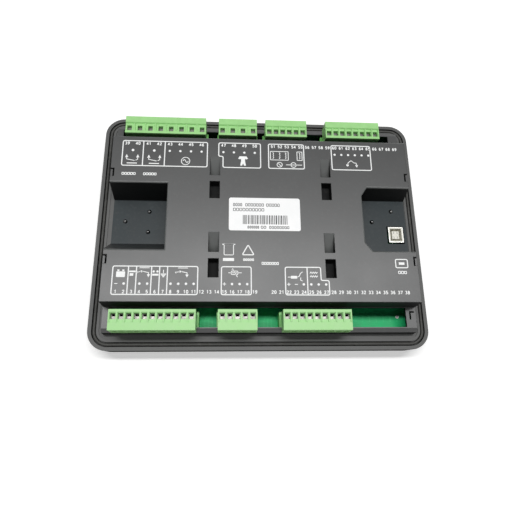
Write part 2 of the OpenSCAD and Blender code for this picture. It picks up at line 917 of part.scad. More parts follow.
// Hollows of one terminal: pocket, wire entry, pin room and the two steps of the screw hole
module pole_hollow(pitch) {
    half = (pitch - pocket_rib) / 2;
    block([-half, pocket_in, plug_top_z - pocket_depth], [half, plug_step_y, plug_top_z + cut]);
    block([-entry_w / 2, entry_in, cage_z], [entry_w / 2, entry_out, plug_top_z + cut]);
    pin_bar(pin_room, plug_foot_z - cut, cage_z + eps);
    screw_bar(screw_dia + 2 * fit_gap, entry_out - eps, screw_head_in + eps);
    screw_bar(screw_head_dia + 2 * fit_gap, screw_head_in, plug_out + cut);
}

module plug(b) {
    color("yellowgreen")
        on_side(b[3])
            difference() {
                union() {
                    row_block(b, plug_end, plug_in, plug_out, plug_z, plug_top_z);
                    row_block(b, neck_end, row_y - plug_neck, row_y + plug_neck, plug_foot_z, plug_z + eps);
                }
                at_poles(b) pole_hollow(b[1]);
                row_block(b, plug_end + cut, plug_step_y, plug_step_y + groove,
                    plug_top_z - groove, plug_top_z + cut);
            }
}

// Wire cage with its wire opening, screw thread and contact tail
module cage() {
    half = entry_w / 2 - cage_gap;
    difference() {
        block([-half, entry_in + cage_gap, cage_z], [half, entry_out - cage_gap, cage_top_z]);
        block([-half + cage_t, entry_in + cage_gap + cage_t, cage_z - cut],
            [half - cage_t, entry_in + cage_wire_d, cage_top_z + cut]);
        screw_bar(screw_dia + face_gap, entry_in + cage_wire_d - eps, entry_out + cut);
    }
    block([-tail_w / 2, tail_y, plug_foot_z + tail_lift], [tail_w / 2, tail_y + cage_t, cage_z + eps]);
}

module cages(b) {
    color("silver") on_side(b[3]) at_poles(b) cage();
}

// Slotted clamp screw, its head at the plug's outward face
module clamp_screw() {
    head_out = screw_head_in + screw_head_h;
    difference() {
        union() {
            screw_bar(screw_dia, screw_tip, screw_head_in + eps);
            screw_bar(screw_head_dia, screw_head_in, head_out);
        }
        block([-screw_head_dia, head_out - slot_h, screw_z - slot_w / 2],
            [screw_head_dia, head_out + cut, screw_z + slot_w / 2]);
    }
}

module clamp_screws(b) {
    color("silver") on_side(b[3]) at_poles(b) clamp_screw();
}

front_bezel();
front_overlay();
display_window();
lcd_module();
rear_case();
case_flange();
tie_anchors();
panel_gasket();
main_board();
display_board();
board_link();
board_screws();
rating_label();
usb_shell();
usb_insulator();
relays();
capacitors();
chips();
tact_switches();
indicator_leds();
header_pins();
for (i = [0 : len(MODE_KEYS) - 1]) mode_key(i);
for (i = [0 : len(NAV_KEYS) - 1]) nav_key(i);
for (i = [1 : len(BLOCKS)]) header(BLOCKS[i - 1]);
for (i = [1 : len(BLOCKS)]) plug(BLOCKS[i - 1]);
for (i = [1 : len(BLOCKS)]) cages(BLOCKS[i - 1]);
for (i = [1 : len(BLOCKS)])
    clamp_screws(BLOCKS[i - 1]);
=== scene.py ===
"""Finishes, printed legends, board detail, light and camera for a genset controller seen from behind."""
import logging
import math
from collections.abc import Iterable, Sequence
from dataclasses import dataclass, field
from enum import Enum, IntEnum
from itertools import cycle
from typing import NamedTuple

import bmesh
import bpy
from mathutils import Euler, Matrix, Vector


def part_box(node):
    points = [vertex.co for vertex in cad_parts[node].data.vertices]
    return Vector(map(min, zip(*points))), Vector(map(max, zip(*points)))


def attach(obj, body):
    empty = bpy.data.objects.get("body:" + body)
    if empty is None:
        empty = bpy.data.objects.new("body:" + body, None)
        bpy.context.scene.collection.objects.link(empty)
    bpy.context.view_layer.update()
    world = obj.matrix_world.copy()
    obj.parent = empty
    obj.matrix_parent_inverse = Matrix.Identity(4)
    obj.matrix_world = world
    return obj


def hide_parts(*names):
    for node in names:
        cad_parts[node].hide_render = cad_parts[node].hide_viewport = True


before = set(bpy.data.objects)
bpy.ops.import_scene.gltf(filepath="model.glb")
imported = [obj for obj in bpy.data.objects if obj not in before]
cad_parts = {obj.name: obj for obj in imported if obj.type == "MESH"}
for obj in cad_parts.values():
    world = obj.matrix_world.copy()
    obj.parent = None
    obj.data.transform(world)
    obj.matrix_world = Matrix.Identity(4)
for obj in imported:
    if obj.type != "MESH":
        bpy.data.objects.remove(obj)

LOG = logging.getLogger("genset_controller")
MM = 0.001
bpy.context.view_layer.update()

Point = tuple[float, float]
Path = Sequence[Point]
Box = tuple[float, float, float, float]
Colour = tuple[int, int, int]
NodeTree = bpy.types.NodeTree
Socket = bpy.types.NodeSocket

GREY = (0.5, 0.5, 0.5, 1.0)
WHITE = (1.0, 1.0, 1.0, 1.0)
SHARP = math.radians(40.0)


def linear(colour: Colour) -> tuple[float, float, float, float]:
    """Turn an sRGB colour of 0 to 255 into the linear values that shaders take.

    Args:
        colour: red, green and blue, as seen on a screen.

    Returns:
        Linear red, green, blue and an alpha of 1.
    """
    shares = [value / 255.0 for value in colour]
    red, green, blue = (s / 12.92 if s <= 0.04045 else ((s + 0.055) / 1.055) ** 2.4 for s in shares)
    return red, green, blue, 1.0


class Grain(Enum):
    """The kinds of fine relief that a surface can have."""

    MOULDED = "moulded_grain"
    BRUSHED = "brushed_grain"
    FIBRE = "fibre_grain"


@dataclass(frozen=True)
class Finish:
    """How one surface looks.

    Attributes:
        name: name of the material.
        colour: main colour, sRGB.
        tint: colour that the surface drifts to in patches, sRGB.
        drift_mm: size of those patches.
        roughness: mean roughness.
        spread: how far the roughness drifts either way.
        grain: kind of fine relief.
        grain_mm: size of the relief's features.
        relief_mm: height of the relief.
        dust: share of pale dust on faces that look up.
        metallic: 1 for bare metal.
        specular: strength of the plain reflection.
        coat: weight of a clear coat.
        sides: colour of the upright faces, painted shade where only the level ones are glossy, sRGB.
    """

    name: str
    colour: Colour
    tint: Colour
    drift_mm: float = 5.0
    roughness: float = 0.42
    spread: float = 0.08
    grain: Grain = Grain.MOULDED
    grain_mm: float = 0.4
    relief_mm: float = 0.01
    dust: float = 0.0
    metallic: float = 0.0
    specular: float = 0.5
    coat: float = 0.0
    sides: Colour | None = None


@dataclass(frozen=True)
class Glass:
    """A clear pane.

    Attributes:
        name: name of the material.
        colour: colour of the light that passes, sRGB.
        roughness: haze of the surface.
        ior: index of refraction.
        smear_scale: how closely the smears in the haze lie.
    """

    name: str
    colour: Colour
    roughness: float = 0.04
    ior: float = 1.49
    smear_scale: float = 90.0


class Wiring:
    """A node tree under construction, with short ways to add nodes and join them."""

    def __init__(self, tree: NodeTree) -> None:
        """Take up a tree."""
        self.tree = tree

    def feed(self, node: bpy.types.Node, feeds: dict[str | int, object]) -> None:
        """Link sockets to a node's inputs, or set plain values on them.

        Args:
            node: the node to feed.
            feeds: a socket or a plain value for each input, by its label or number.
        """
        for key, value in feeds.items():
            if isinstance(value, bpy.types.NodeSocket):
                self.tree.links.new(value, node.inputs[key])
            else:
                node.inputs[key].default_value = value

    def add(self, kind: str, feeds: dict[str | int, object], **traits: object) -> bpy.types.Node:
        """Add a shader node.

        Args:
            kind: its type.
            feeds: what goes into its inputs.
            traits: its own properties.

        Returns:
            The node.
        """
        node = self.tree.nodes.new("ShaderNode" + kind)
        for name, value in traits.items():
            setattr(node, name, value)
        self.feed(node, feeds)
        return node

    def use(self, group: NodeTree, **feeds: object) -> bpy.types.NodeOutputs:
        """Place a node group, and give its outputs."""
        return self.add("Group", feeds, node_tree=group).outputs

    def math(self, operation: str, *values: object, clamp: bool = False) -> Socket:
        """Add a sum of sockets and plain values, and give its result."""
        node = self.add("Math", dict(enumerate(values)), operation=operation, use_clamp=clamp)
        return node.outputs["Value"]

    def ramp(self, value: Socket, low: float, high: float) -> Socket:
        """Stretch a range of values to 0 to 1, and give the result."""
        return self.add("MapRange", {"Value": value, "From Min": low, "From Max": high}).outputs["Result"]

    def noise(self, place: Socket, scale: Socket | float, detail: float) -> Socket:
        """Add a noise texture, and give its value."""
        return self.add("TexNoise", {"Vector": place, "Scale": scale, "Detail": detail}).outputs["Fac"]

    def rise(self, vector: Socket) -> Socket:
        """Give the Z part of a vector."""
        return self.add("SeparateXYZ", {"Vector": vector}).outputs["Z"]

    def blend(self, share: Socket, first: object, second: object) -> Socket:
        """Mix two colours.

        Args:
            share: share of the second colour.
            first: first colour.
            second: second colour.

        Returns:
            The mixed colour.
        """
        node = self.add("Mix", {0: share}, data_type="RGBA")
        colours = [k for k, socket in enumerate(node.inputs) if socket.type == "RGBA"]
        self.feed(node, dict(zip(colours, (first, second))))
        return next(socket for socket in node.outputs if socket.type == "RGBA")


class EffectGroup(Wiring):
    """A shader node group under construction."""

    def __init__(self, name: str, inputs: dict[str, object], outputs: dict[str, object]) -> None:
        """Start a group.

        Args:
            name: its name.
            inputs: label and default of each input, a colour or a number.
            outputs: label and default of each output.
        """
        super().__init__(bpy.data.node_groups.new(name, "ShaderNodeTree"))
        for way, sockets in (("INPUT", inputs), ("OUTPUT", outputs)):
            for label, value in sockets.items():
                kind = "NodeSocketColor" if isinstance(value, tuple) else "NodeSocketFloat"
                socket = self.tree.interface.new_socket(name=label, in_out=way, socket_type=kind)
                socket.default_value = value
        self.given = self.tree.nodes.new("NodeGroupInput").outputs
        self._end = self.tree.nodes.new("NodeGroupOutput")
        coordinates = self.add("TexCoord", {}).outputs
        self.place = coordinates["Object"]
        self.facing = coordinates["Normal"]

    def close(self, **results: Socket) -> NodeTree:
        """Link the results to the outputs, and give the finished group."""
        self.feed(self._end, results)
        return self.tree


class PaintShop:
    """Builds the shared node groups once and mixes a material for each finish."""

    DUST: Colour = (176, 174, 168)
    DUST_SCALE = 420.0
    GRAIN_SCALE = 2000.0
    PIT_SHARE = 0.45
    DRAWN = (0.06, 1.0, 1.0)
    FULL_SPECULAR = 0.08

    def __init__(self) -> None:
        """Make the node groups."""
        self._materials: dict[str, bpy.types.Material] = {}
        self._drift = self._make_drift()
        self._dust = self._make_dust()
        self._matt = self._make_matt()
        self._grains = {
            Grain.MOULDED: self._make_moulded(),
            Grain.BRUSHED: self._make_brushed(),
            Grain.FIBRE: self._make_fibre(),
        }

    @staticmethod
    def _make_drift() -> NodeTree:
        """Build the group that lets colour and roughness wander over a surface.

        Returns:
            The group.
        """
        inputs = {"Colour": GREY, "Tint": GREY, "Scale": 50.0, "Roughness": 0.5, "Spread": 0.1}
        work = EffectGroup("colour_drift", inputs, {"Colour": GREY, "Roughness": 0.5})
        patches = work.ramp(work.noise(work.place, work.given["Scale"], detail=5.0), low=0.3, high=0.7)
        sway = work.math("SUBTRACT", patches, 0.5)
        return work.close(
            Colour=work.blend(patches, work.given["Colour"], work.given["Tint"]),
            Roughness=work.math("MULTIPLY_ADD", sway, work.given["Spread"], work.given["Roughness"]),
        )

    def _make_dust(self) -> NodeTree:
        """Build the group that lays specks of pale dust on faces that look up.

        Returns:
            The group.
        """
        work = EffectGroup("settled_dust", {"Colour": GREY, "Amount": 0.1}, {"Colour": GREY})
        specks = work.ramp(work.noise(work.place, self.DUST_SCALE, detail=8.0), low=0.52, high=0.72)
        upward = work.rise(work.add("NewGeometry", {}).outputs["Normal"])
        lying = work.math("MULTIPLY", upward, specks, clamp=True)
        share = work.math("MULTIPLY", lying, work.given["Amount"], clamp=True)
        return work.close(Colour=work.blend(share, work.given["Colour"], linear(self.DUST)))

    @staticmethod
    def _make_matt() -> NodeTree:
        """Build the group that paints shade on upright faces, giving them a colour of their own, and gives
        a mask of the level ones.

        Returns:
            The group.
        """
        work = EffectGroup("painted_side_shade", {"Colour": GREY, "Sides": GREY}, {"Colour": GREY, "Level": 1.0})
        level = work.ramp(work.math("ABSOLUTE", work.rise(work.facing)), low=0.4, high=0.8)
        return work.close(Colour=work.blend(level, work.given["Sides"], work.given["Colour"]), Level=level)

    def _make_moulded(self) -> NodeTree:
        """Build the group for the spark-eroded grain of a moulding.

        Returns:
            The group.
        """
        work = EffectGroup(Grain.MOULDED.value, {"Scale": self.GRAIN_SCALE}, {"Height": 0.0})
        scale = work.given["Scale"]
        pits = work.add("TexVoronoi", {"Vector": work.place, "Scale": scale}).outputs["Distance"]
        noise = work.noise(work.place, scale, detail=3.0)
        return work.close(Height=work.math("MULTIPLY_ADD", pits, self.PIT_SHARE, noise))

    def _make_brushed(self) -> NodeTree:
        """Build the group for the drawn lines of rolled or turned metal.

        Returns:
            The group.
        """
        work = EffectGroup(Grain.BRUSHED.value, {"Scale": self.GRAIN_SCALE}, {"Height": 0.0})
        drawn = work.add("Mapping", {"Vector": work.place, "Scale": self.DRAWN}).outputs["Vector"]
        return work.close(Height=work.noise(drawn, work.given["Scale"], detail=2.0))

    def _make_fibre(self) -> NodeTree:
        """Build the group for the crossed fibres of paper, film or board laminate.

        Returns:
            The group.
        """
        work = EffectGroup(Grain.FIBRE.value, {"Scale": self.GRAIN_SCALE}, {"Height": 0.0})
        feeds = {"Vector": work.place, "Scale": work.given["Scale"], "Distortion": 3.0, "Detail": 2.0}
        waves = [work.add("TexWave", feeds, bands_direction=way).outputs["Fac"] for way in ("X", "Y")]
        return work.close(Height=work.math("MAXIMUM", *waves))

    def material(self, finish: Finish | Glass) -> bpy.types.Material:
        """Give the material of a finish, made on first use.

        Args:
            finish: the finish wanted.

        Returns:
            Its material.
        """
        if finish.name not in self._materials:
            material = bpy.data.materials.new(finish.name)
            material.use_nodes = True
            mix = self._mix_glass if isinstance(finish, Glass) else self._mix
            mix(finish, material)
            self._materials[finish.name] = material
        return self._materials[finish.name]

    def _mix(self, finish: Finish, material: bpy.types.Material) -> None:
        """Put the drift, dust and grain groups in front of the shader of an opaque finish.

        Args:
            finish: the finish to mix.
            material: its new material.
        """
        material.diffuse_color = linear(finish.colour)
        work = Wiring(material.node_tree)
        shader = work.tree.nodes["Principled BSDF"]
        drift = work.use(
            self._drift,
            Colour=linear(finish.colour),
            Tint=linear(finish.tint),
            Scale=1.0 / (finish.drift_mm * MM),
            Roughness=finish.roughness,
            Spread=finish.spread,
        )
        colour = drift["Colour"]
        if finish.dust > 0.0:
            colour = work.use(self._dust, Colour=colour, Amount=finish.dust)["Colour"]
        gloss = {"Specular IOR Level": finish.specular, "Coat Weight": finish.coat}
        # Painted shade on upright faces: they take the side colour without gloss, and only the level faces
        # keep the coat.
        if finish.sides is not None:
            side_shade = work.use(self._matt, Colour=colour, Sides=linear(finish.sides))
            colour = side_shade["Colour"]
            mirror = math.sqrt(self.FULL_SPECULAR * finish.specular)
            gloss = {
                "Specular IOR Level": 0.0,
                "Coat Weight": side_shade["Level"],
                "Coat IOR": (1.0 + mirror) / (1.0 - mirror),
                "Coat Roughness": finish.roughness,
            }
        grain = work.use(self._grains[finish.grain], Scale=1.0 / (finish.grain_mm * MM))
        relief = {"Strength": 1.0, "Distance": finish.relief_mm * MM, "Height": grain["Height"]}
        work.feed(shader, gloss)
        work.feed(shader, {
            "Base Color": colour,
            "Metallic": finish.metallic,
            "Roughness": drift["Roughness"],
            "Normal": work.add("Bump", relief).outputs["Normal"],
        })

    def _mix_glass(self, finish: Glass, material: bpy.types.Material) -> None:
        """Let light through the shader of a clear pane, with faint smears in its haze.

        Args:
            finish: the glass to mix.
            material: its new material.
        """
        work = Wiring(material.node_tree)
        haze = {"Scale": finish.smear_scale, "Roughness": finish.roughness, "Spread": finish.roughness}
        work.feed(work.tree.nodes["Principled BSDF"], {
            "Base Color": linear(finish.colour),
            "Transmission Weight": 1.0,
            "IOR": finish.ior,
            "Roughness": work.use(self._drift, **haze)["Roughness"],
        })

    def dress(self, target: bpy.types.Object, finish: Finish | Glass) -> None:
        """Put a finish on every material slot of an object.

        Args:
            target: object to dress.
            finish: the finish to put on.
        """
        material = self.material(finish)
        if not target.material_slots:
            target.data.materials.append(material)
        for slot in target.material_slots:
            slot.material = material

    def dress_nodes(self, finishes: dict[str, Finish | Glass]) -> None:
        """Put finishes on CAD nodes.

        Args:
            finishes: the finish of each node, by its name.
        """
        for name, finish in finishes.items():
            self.dress(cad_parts[name], finish)
            LOG.info("%s dressed", name)


CASE = Finish("case_plastic", (24, 25, 25), (29, 31, 31), drift_mm=34.0, roughness=0.4, spread=0.05,
              grain_mm=0.55, relief_mm=0.008, dust=0.015, specular=0.66)
# The bezel's side colour paints shade on its upright faces, which lose their gloss.
FLANGE = Finish("bezel_plastic", (33, 34, 33), (38, 39, 37), drift_mm=40.0, roughness=0.56, spread=0.06,
                grain_mm=0.6, relief_mm=0.012, dust=0.02, specular=0.78, sides=(66, 67, 66))
SEAL = Finish("gasket_rubber", (46, 46, 44), (52, 52, 49), drift_mm=6.0, roughness=0.6, spread=0.1,
              grain_mm=0.35, relief_mm=0.02, dust=0.06, specular=0.45)
# Bay floor finish: a bluish copy of the case plastic with little gloss, painted shade on the floors of the
# deep bays.
LINING = Finish("bay_floor_painted_shade", (29, 37, 40), (34, 43, 46), drift_mm=14.0, roughness=0.4, spread=0.06,
                grain_mm=0.8, relief_mm=0.006, dust=0.02, specular=0.22)
# Pip finish: a near-black, glossy copy of the case plastic; its darkness is painted shade.
PIP = Finish("bay_pip_painted_shade", (8, 9, 10), (12, 13, 14), drift_mm=2.0, roughness=0.16, spread=0.05,
             grain_mm=0.5, relief_mm=0.002, specular=0.9)
# Wall finish: a darker, almost unglossy copy of the case plastic on upright faces and the tie anchors'
# floor, painted shade.
WALL = Finish("case_wall_painted_shade", (15, 16, 16), (19, 20, 20), drift_mm=20.0, roughness=0.6, spread=0.06,
              grain_mm=0.5, dust=0.02, specular=0.1)
# Rim finish: a lighter copy of the case plastic on the rounded rims and the ramps, a painted highlight.
RIM = Finish("case_rim_painted_highlight", (74, 76, 75), (82, 84, 83), drift_mm=24.0, roughness=0.4, spread=0.05,
             relief_mm=0.006, dust=0.02)
FILM = Finish("overlay_film", (44, 48, 52), (49, 53, 56), drift_mm=60.0, roughness=0.38, spread=0.05,
              grain=Grain.FIBRE, grain_mm=0.3, relief_mm=0.004)
FRAME = Finish("display_frame", (182, 184, 184), (168, 170, 172), drift_mm=9.0, roughness=0.36, spread=0.1,
               grain=Grain.BRUSHED, grain_mm=0.3, relief_mm=0.004, metallic=1.0)
PANE = Glass("display_pane", (226, 236, 232))
MASK = Finish("solder_mask", (30, 176, 107), (36, 186, 114), drift_mm=7.0, roughness=0.36,
              grain=Grain.FIBRE, grain_mm=0.9, relief_mm=0.006, specular=0.12)
MASK_LINE = Finish("masked_track", (38, 183, 113), (44, 191, 120), roughness=0.34, spread=0.06,
                   grain=Grain.FIBRE, grain_mm=0.9, relief_mm=0.005, specular=0.12)
# Solder: near-white and barely metallic, a painted glint on the spot.
SOLDER_GLINT = Finish("solder", (250, 251, 248), (238, 239, 236), drift_mm=1.2, roughness=0.35, spread=0.1,
                metallic=0.1)
BLACK = Finish("black_insulator", (30, 30, 31), (37, 37, 38), drift_mm=6.0, roughness=0.5, grain_mm=0.3)
STEEL = Finish("zinc_steel", (196, 197, 194), (172, 174, 172), drift_mm=1.6, roughness=0.3, spread=0.12,
               grain=Grain.BRUSHED, grain_mm=0.12, relief_mm=0.004, metallic=1.0)
TINNED = Finish("tinned_cage", (126, 125, 120), (112, 111, 107), drift_mm=1.4, roughness=0.43, spread=0.12,
                grain=Grain.BRUSHED, grain_mm=0.15, relief_mm=0.005, metallic=1.0)
BRASS = Finish("pin_brass", (206, 178, 108), (186, 160, 98), drift_mm=1.0, roughness=0.3, spread=0.1,
               grain=Grain.BRUSHED, grain_mm=0.1, relief_mm=0.003, metallic=1.0)
PAPER = Finish("label_film", (250, 250, 250), (246, 247, 247), drift_mm=8.0, spread=0.05,
               grain=Grain.FIBRE, relief_mm=0.002)
INK_WHITE = Finish("white_ink", (252, 253, 252), (244, 246, 245), drift_mm=3.0, roughness=0.55,
                   grain_mm=0.25, relief_mm=0.006)
INK_DARK = Finish("dark_ink", (44, 45, 47), (36, 37, 39), drift_mm=2.0, roughness=0.5,
                  grain_mm=0.2, relief_mm=0.003)
INK_GREY = Finish("grey_ink", (62, 63, 65), (54, 55, 57), drift_mm=2.0, roughness=0.5,
                  grain_mm=0.2, relief_mm=0.003)
NICKEL = Finish("nickel_shell", (228, 227, 222), (212, 212, 208), drift_mm=3.0, roughness=0.22,
                grain=Grain.BRUSHED, grain_mm=0.25, relief_mm=0.003, metallic=1.0)
IVORY = Finish("socket_ivory", (234, 232, 221), (226, 224, 212), drift_mm=3.0, roughness=0.45, spread=0.06,
               grain_mm=0.3, relief_mm=0.006)
RELAY = Finish("relay_case", (38, 66, 128), (44, 74, 140), drift_mm=8.0, spread=0.06, dust=0.05)
SLEEVE = Finish("capacitor_sleeve", (58, 62, 70), (66, 70, 80), roughness=0.4,
                grain=Grain.FIBRE, grain_mm=0.5, relief_mm=0.006)
LAMP = Finish("lamp_lens", (150, 30, 24), (170, 40, 30), drift_mm=2.0, roughness=0.18, spread=0.04,
              grain_mm=0.5, relief_mm=0.003, coat=0.4)
KEY_RED = Finish("key_red", (186, 34, 28), (172, 30, 26), roughness=0.46, spread=0.06, relief_mm=0.012)
KEY_GREEN = Finish("key_green", (30, 140, 66), (28, 128, 60), roughness=0.46, spread=0.06, relief_mm=0.012)
KEY_GREY = Finish("key_grey", (128, 132, 136), (118, 122, 126), roughness=0.48, spread=0.06,
                  relief_mm=0.012)
TERMINAL = Finish("terminal_green", (152, 208, 132), (160, 217, 140), grain_mm=0.35, relief_mm=0.008)
SOCKET_GREEN = Finish("header_green", (112, 186, 96), (120, 196, 104), grain_mm=0.35, relief_mm=0.008)
SCREEN = Finish("display_screen", (150, 168, 128), (144, 162, 122), drift_mm=12.0, roughness=0.3,
                spread=0.03, grain=Grain.FIBRE, grain_mm=0.25, relief_mm=0.001)
SEGMENT = Finish("display_segment", (58, 68, 52), (52, 62, 48), drift_mm=4.0, roughness=0.32,
                 spread=0.03, grain=Grain.FIBRE, grain_mm=0.25, relief_mm=0.001)


def rounded(corners: Path, radius: float, steps: int = 4, most: float = 2.2) -> list[Point]:
    """Round the corners of a closed outline.

    Args:
        corners: corners in order.
        radius: radius of each rounding.
        steps: straight pieces in each rounding.
        most: a rounding takes at most 1 part in this of a side.

    Returns:
        The rounded outline.
    """
    outline: list[Point] = []
    count = len(corners)
    for i, corner in enumerate(corners):
        here = Vector(corner)
        back = Vector(corners[i - 1]) - here
        ahead = Vector(corners[(i + 1) % count]) - here
        reach = min(radius, back.length / most, ahead.length / most)
        start = here + back.normalized() * reach
        end = here + ahead.normalized() * reach
        for k in range(steps + 1):
            t = k / steps
            spot = start * (1 - t) ** 2 + here * (2 * t * (1 - t)) + end * t**2
            outline.append((spot.x, spot.y))
    return outline


def rectangle(x0: float, y0: float, x1: float, y1: float) -> list[Point]:
    """Give the corners of an upright rectangle."""
    return [(x0, y0), (x1, y0), (x1, y1), (x0, y1)]


def arc(centre: Point, radius: float, start: float, end: float, steps: int) -> list[Point]:
    """Give points along an arc.

    Args:
        centre: middle of the arc.
        radius: its radius.
        start: first angle in degrees.
        end: last angle in degrees.
        steps: straight pieces along it.

    Returns:
        Points from the first angle to the last.
    """
    turns = [math.radians(start + (end - start) * k / steps) for k in range(steps + 1)]
    return [(centre[0] + radius * math.cos(t), centre[1] + radius * math.sin(t)) for t in turns]


class Digit(Enum):
    """Strokes of each digit in hundredths of its height, the later strokes under the first."""

    D0 = (((10, 30), (20, 10), (42, 10), (52, 30), (52, 70), (42, 90), (20, 90), (10, 70), (10, 30)),)
    D1 = (((14, 72), (34, 90), (34, 10)),)
    D2 = (((10, 72), (16, 86), (31, 90), (46, 86), (52, 70), (44, 52), (10, 10), (56, 10)),)
    D3 = (((10, 84), (24, 90), (42, 88), (50, 72), (40, 56), (24, 53)),
          ((30, 53), (46, 46), (53, 30), (43, 13), (24, 10), (8, 17)))
    D4 = (((40, 92), (9, 32), (58, 32)), ((42, 90), (42, 8)))
    D5 = (((52, 90), (17, 90), (13, 55), (34, 59), (50, 47), (52, 27), (38, 11), (22, 10), (8, 17)),)
    D6 = (((10, 32), (20, 10), (42, 10), (52, 32), (42, 54), (22, 54), (10, 32)),
          ((10, 34), (16, 70), (32, 90), (50, 88)))
    D7 = (((8, 90), (54, 90), (24, 8)),)
    D8 = (((9, 31), (20, 10), (42, 10), (53, 31), (42, 52), (20, 52), (9, 31)),
          ((13, 72), (22, 54), (40, 54), (49, 72), (40, 90), (22, 90), (13, 72)))
    D9 = (((10, 68), (20, 46), (40, 46), (52, 68), (42, 90), (20, 90), (10, 68)),
          ((52, 66), (46, 30), (30, 10), (12, 12)))


class Relief:
    """Thin raised shapes gathered into one mesh, such as a print, a track or a mark."""

    CROSSING = 0.3
    SHARPEST_MITRE = 0.5
    DOT_STEPS = 16
    DIGIT_STEP = 0.74
    DIGIT_MIDDLE = 0.31
    DIGIT_LINE = 0.2

    def __init__(self, name: str, base: float, top: float) -> None:
        """Start an empty relief.

        Args:
            name: name of the piece.
            base: height of its foot in millimetres.
            top: height of its face in millimetres.
        """
        self.name = name
        self._base = base * MM
        self._top = top * MM
        self._mesh = bmesh.new()

    def _points(self, outline: Iterable[Point], z: float) -> list[bmesh.types.BMVert]:
        """Add the points of an outline at one height."""
        return [self._mesh.verts.new((x * MM, y * MM, z)) for x, y in outline]

    def plate(self, outline: Path) -> None:
        """Add a filled shape.

        Args:
            outline: its corners in order.
        """
        low = self._points(outline, self._base)
        high = self._points(outline, self._top)
        self._mesh.faces.new(high)
        self._mesh.faces.new(list(reversed(low)))
        for i, corner in enumerate(low):
            j = (i + 1) % len(low)
            self._mesh.faces.new((corner, low[j], high[j], high[i]))

    def box(self, x0: float, y0: float, x1: float, y1: float) -> None:
        """Add a filled rectangle."""
        self.plate(rectangle(x0, y0, x1, y1))

    def disc(self, centre: Point, radius: float) -> None:
        """Add a filled circle."""
        self.plate(arc(centre, radius, 0.0, 360.0, self.DOT_STEPS)[:-1])

    def ribbon(self, path: Path, width: float, closed: bool = False, layer: int = 0) -> None:
        """Add a line of even width, mitred at its bends.

        Args:
            path: points along the line's middle.
            width: width of the line.
            closed: whether its end joins its start.
            layer: 1 for a line that passes under others, which stays a little lower.
        """
        top = self._top - self.CROSSING * layer * (self._top - self._base)
        left, right = [], []
        count = len(path)
        for i in range(count):
            here = Vector(path[i])
            ahead = Vector(path[(i + 1) % count]) - here if closed or i + 1 < count else None
            back = here - Vector(path[i - 1]) if closed or i > 0 else None
            one = (back or ahead).normalized()
            two = (ahead or back).normalized()
            middle = (one + two).normalized()
            side = Vector((-middle.y, middle.x)) * (width / 2) / max(self.SHARPEST_MITRE, middle.dot(two))
            left.append(tuple(here + side))
            right.append(tuple(here - side))
        left_low, left_high = self._points(left, self._base), self._points(left, top)
        right_low, right_high = self._points(right, self._base), self._points(right, top)
        for i in range(count if closed else count - 1):
            j = (i + 1) % count
            self._mesh.faces.new((left_high[i], right_high[i], right_high[j], left_high[j]))
            self._mesh.faces.new((left_low[i], left_low[j], right_low[j], right_low[i]))
            self._mesh.faces.new((left_low[i], left_high[i], left_high[j], left_low[j]))
            self._mesh.faces.new((right_low[i], right_low[j], right_high[j], right_high[i]))
        if not closed:
            for i in (0, count - 1):
                self._mesh.faces.new((left_low[i], right_low[i], right_high[i], left_high[i]))

    def outline(self, corners: Path, width: float, radius: float) -> None:
        """Add a closed line with rounded corners."""
        self.ribbon(rounded(corners, radius), width, closed=True)

    def number(self, text: str, centre: Point, height: float) -> None:
        """Add a number.

        Args:
            text: the number.
            centre: its middle.
            height: height of its digits.
        """
        step = self.DIGIT_STEP * height
        left = centre[0] - step * (len(text) - 1) / 2 - self.DIGIT_MIDDLE * height
        foot = centre[1] - height / 2
        for k, char in enumerate(text):
            for layer, stroke in enumerate(Digit["D" + char].value):
                closed = stroke[0] == stroke[-1]
                points = [(left + k * step + x / 100 * height, foot + y / 100 * height) for x, y in stroke]
                self.ribbon(points[:-1] if closed else points, self.DIGIT_LINE * height, closed, layer)

    def place(self, shop: PaintShop, finish: Finish, body: str, slot: str) -> None:
        """Turn the relief into a dressed piece that rides on a body.

        Args:
            shop: where its material is mixed.
            finish: its finish.
            body: body that carries it.
            slot: material slot of the record that it belongs to; not used.
        """
        bmesh.ops.recalc_face_normals(self._mesh, faces=self._mesh.faces)
        mesh = bpy.data.meshes.new(self.name)
        self._mesh.to_mesh(mesh)
        self._mesh.free()
        piece = bpy.data.objects.new(self.name, mesh)
        bpy.context.collection.objects.link(piece)
        shop.dress(piece, finish)
        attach(piece, body)
        LOG.info("%s on %s", self.name, body)


class Ring(NamedTuple):
    """A circular line: its middle, radius, width and number of straight pieces."""

    x: float
    y: float
    radius: float
    width: float
    steps: int


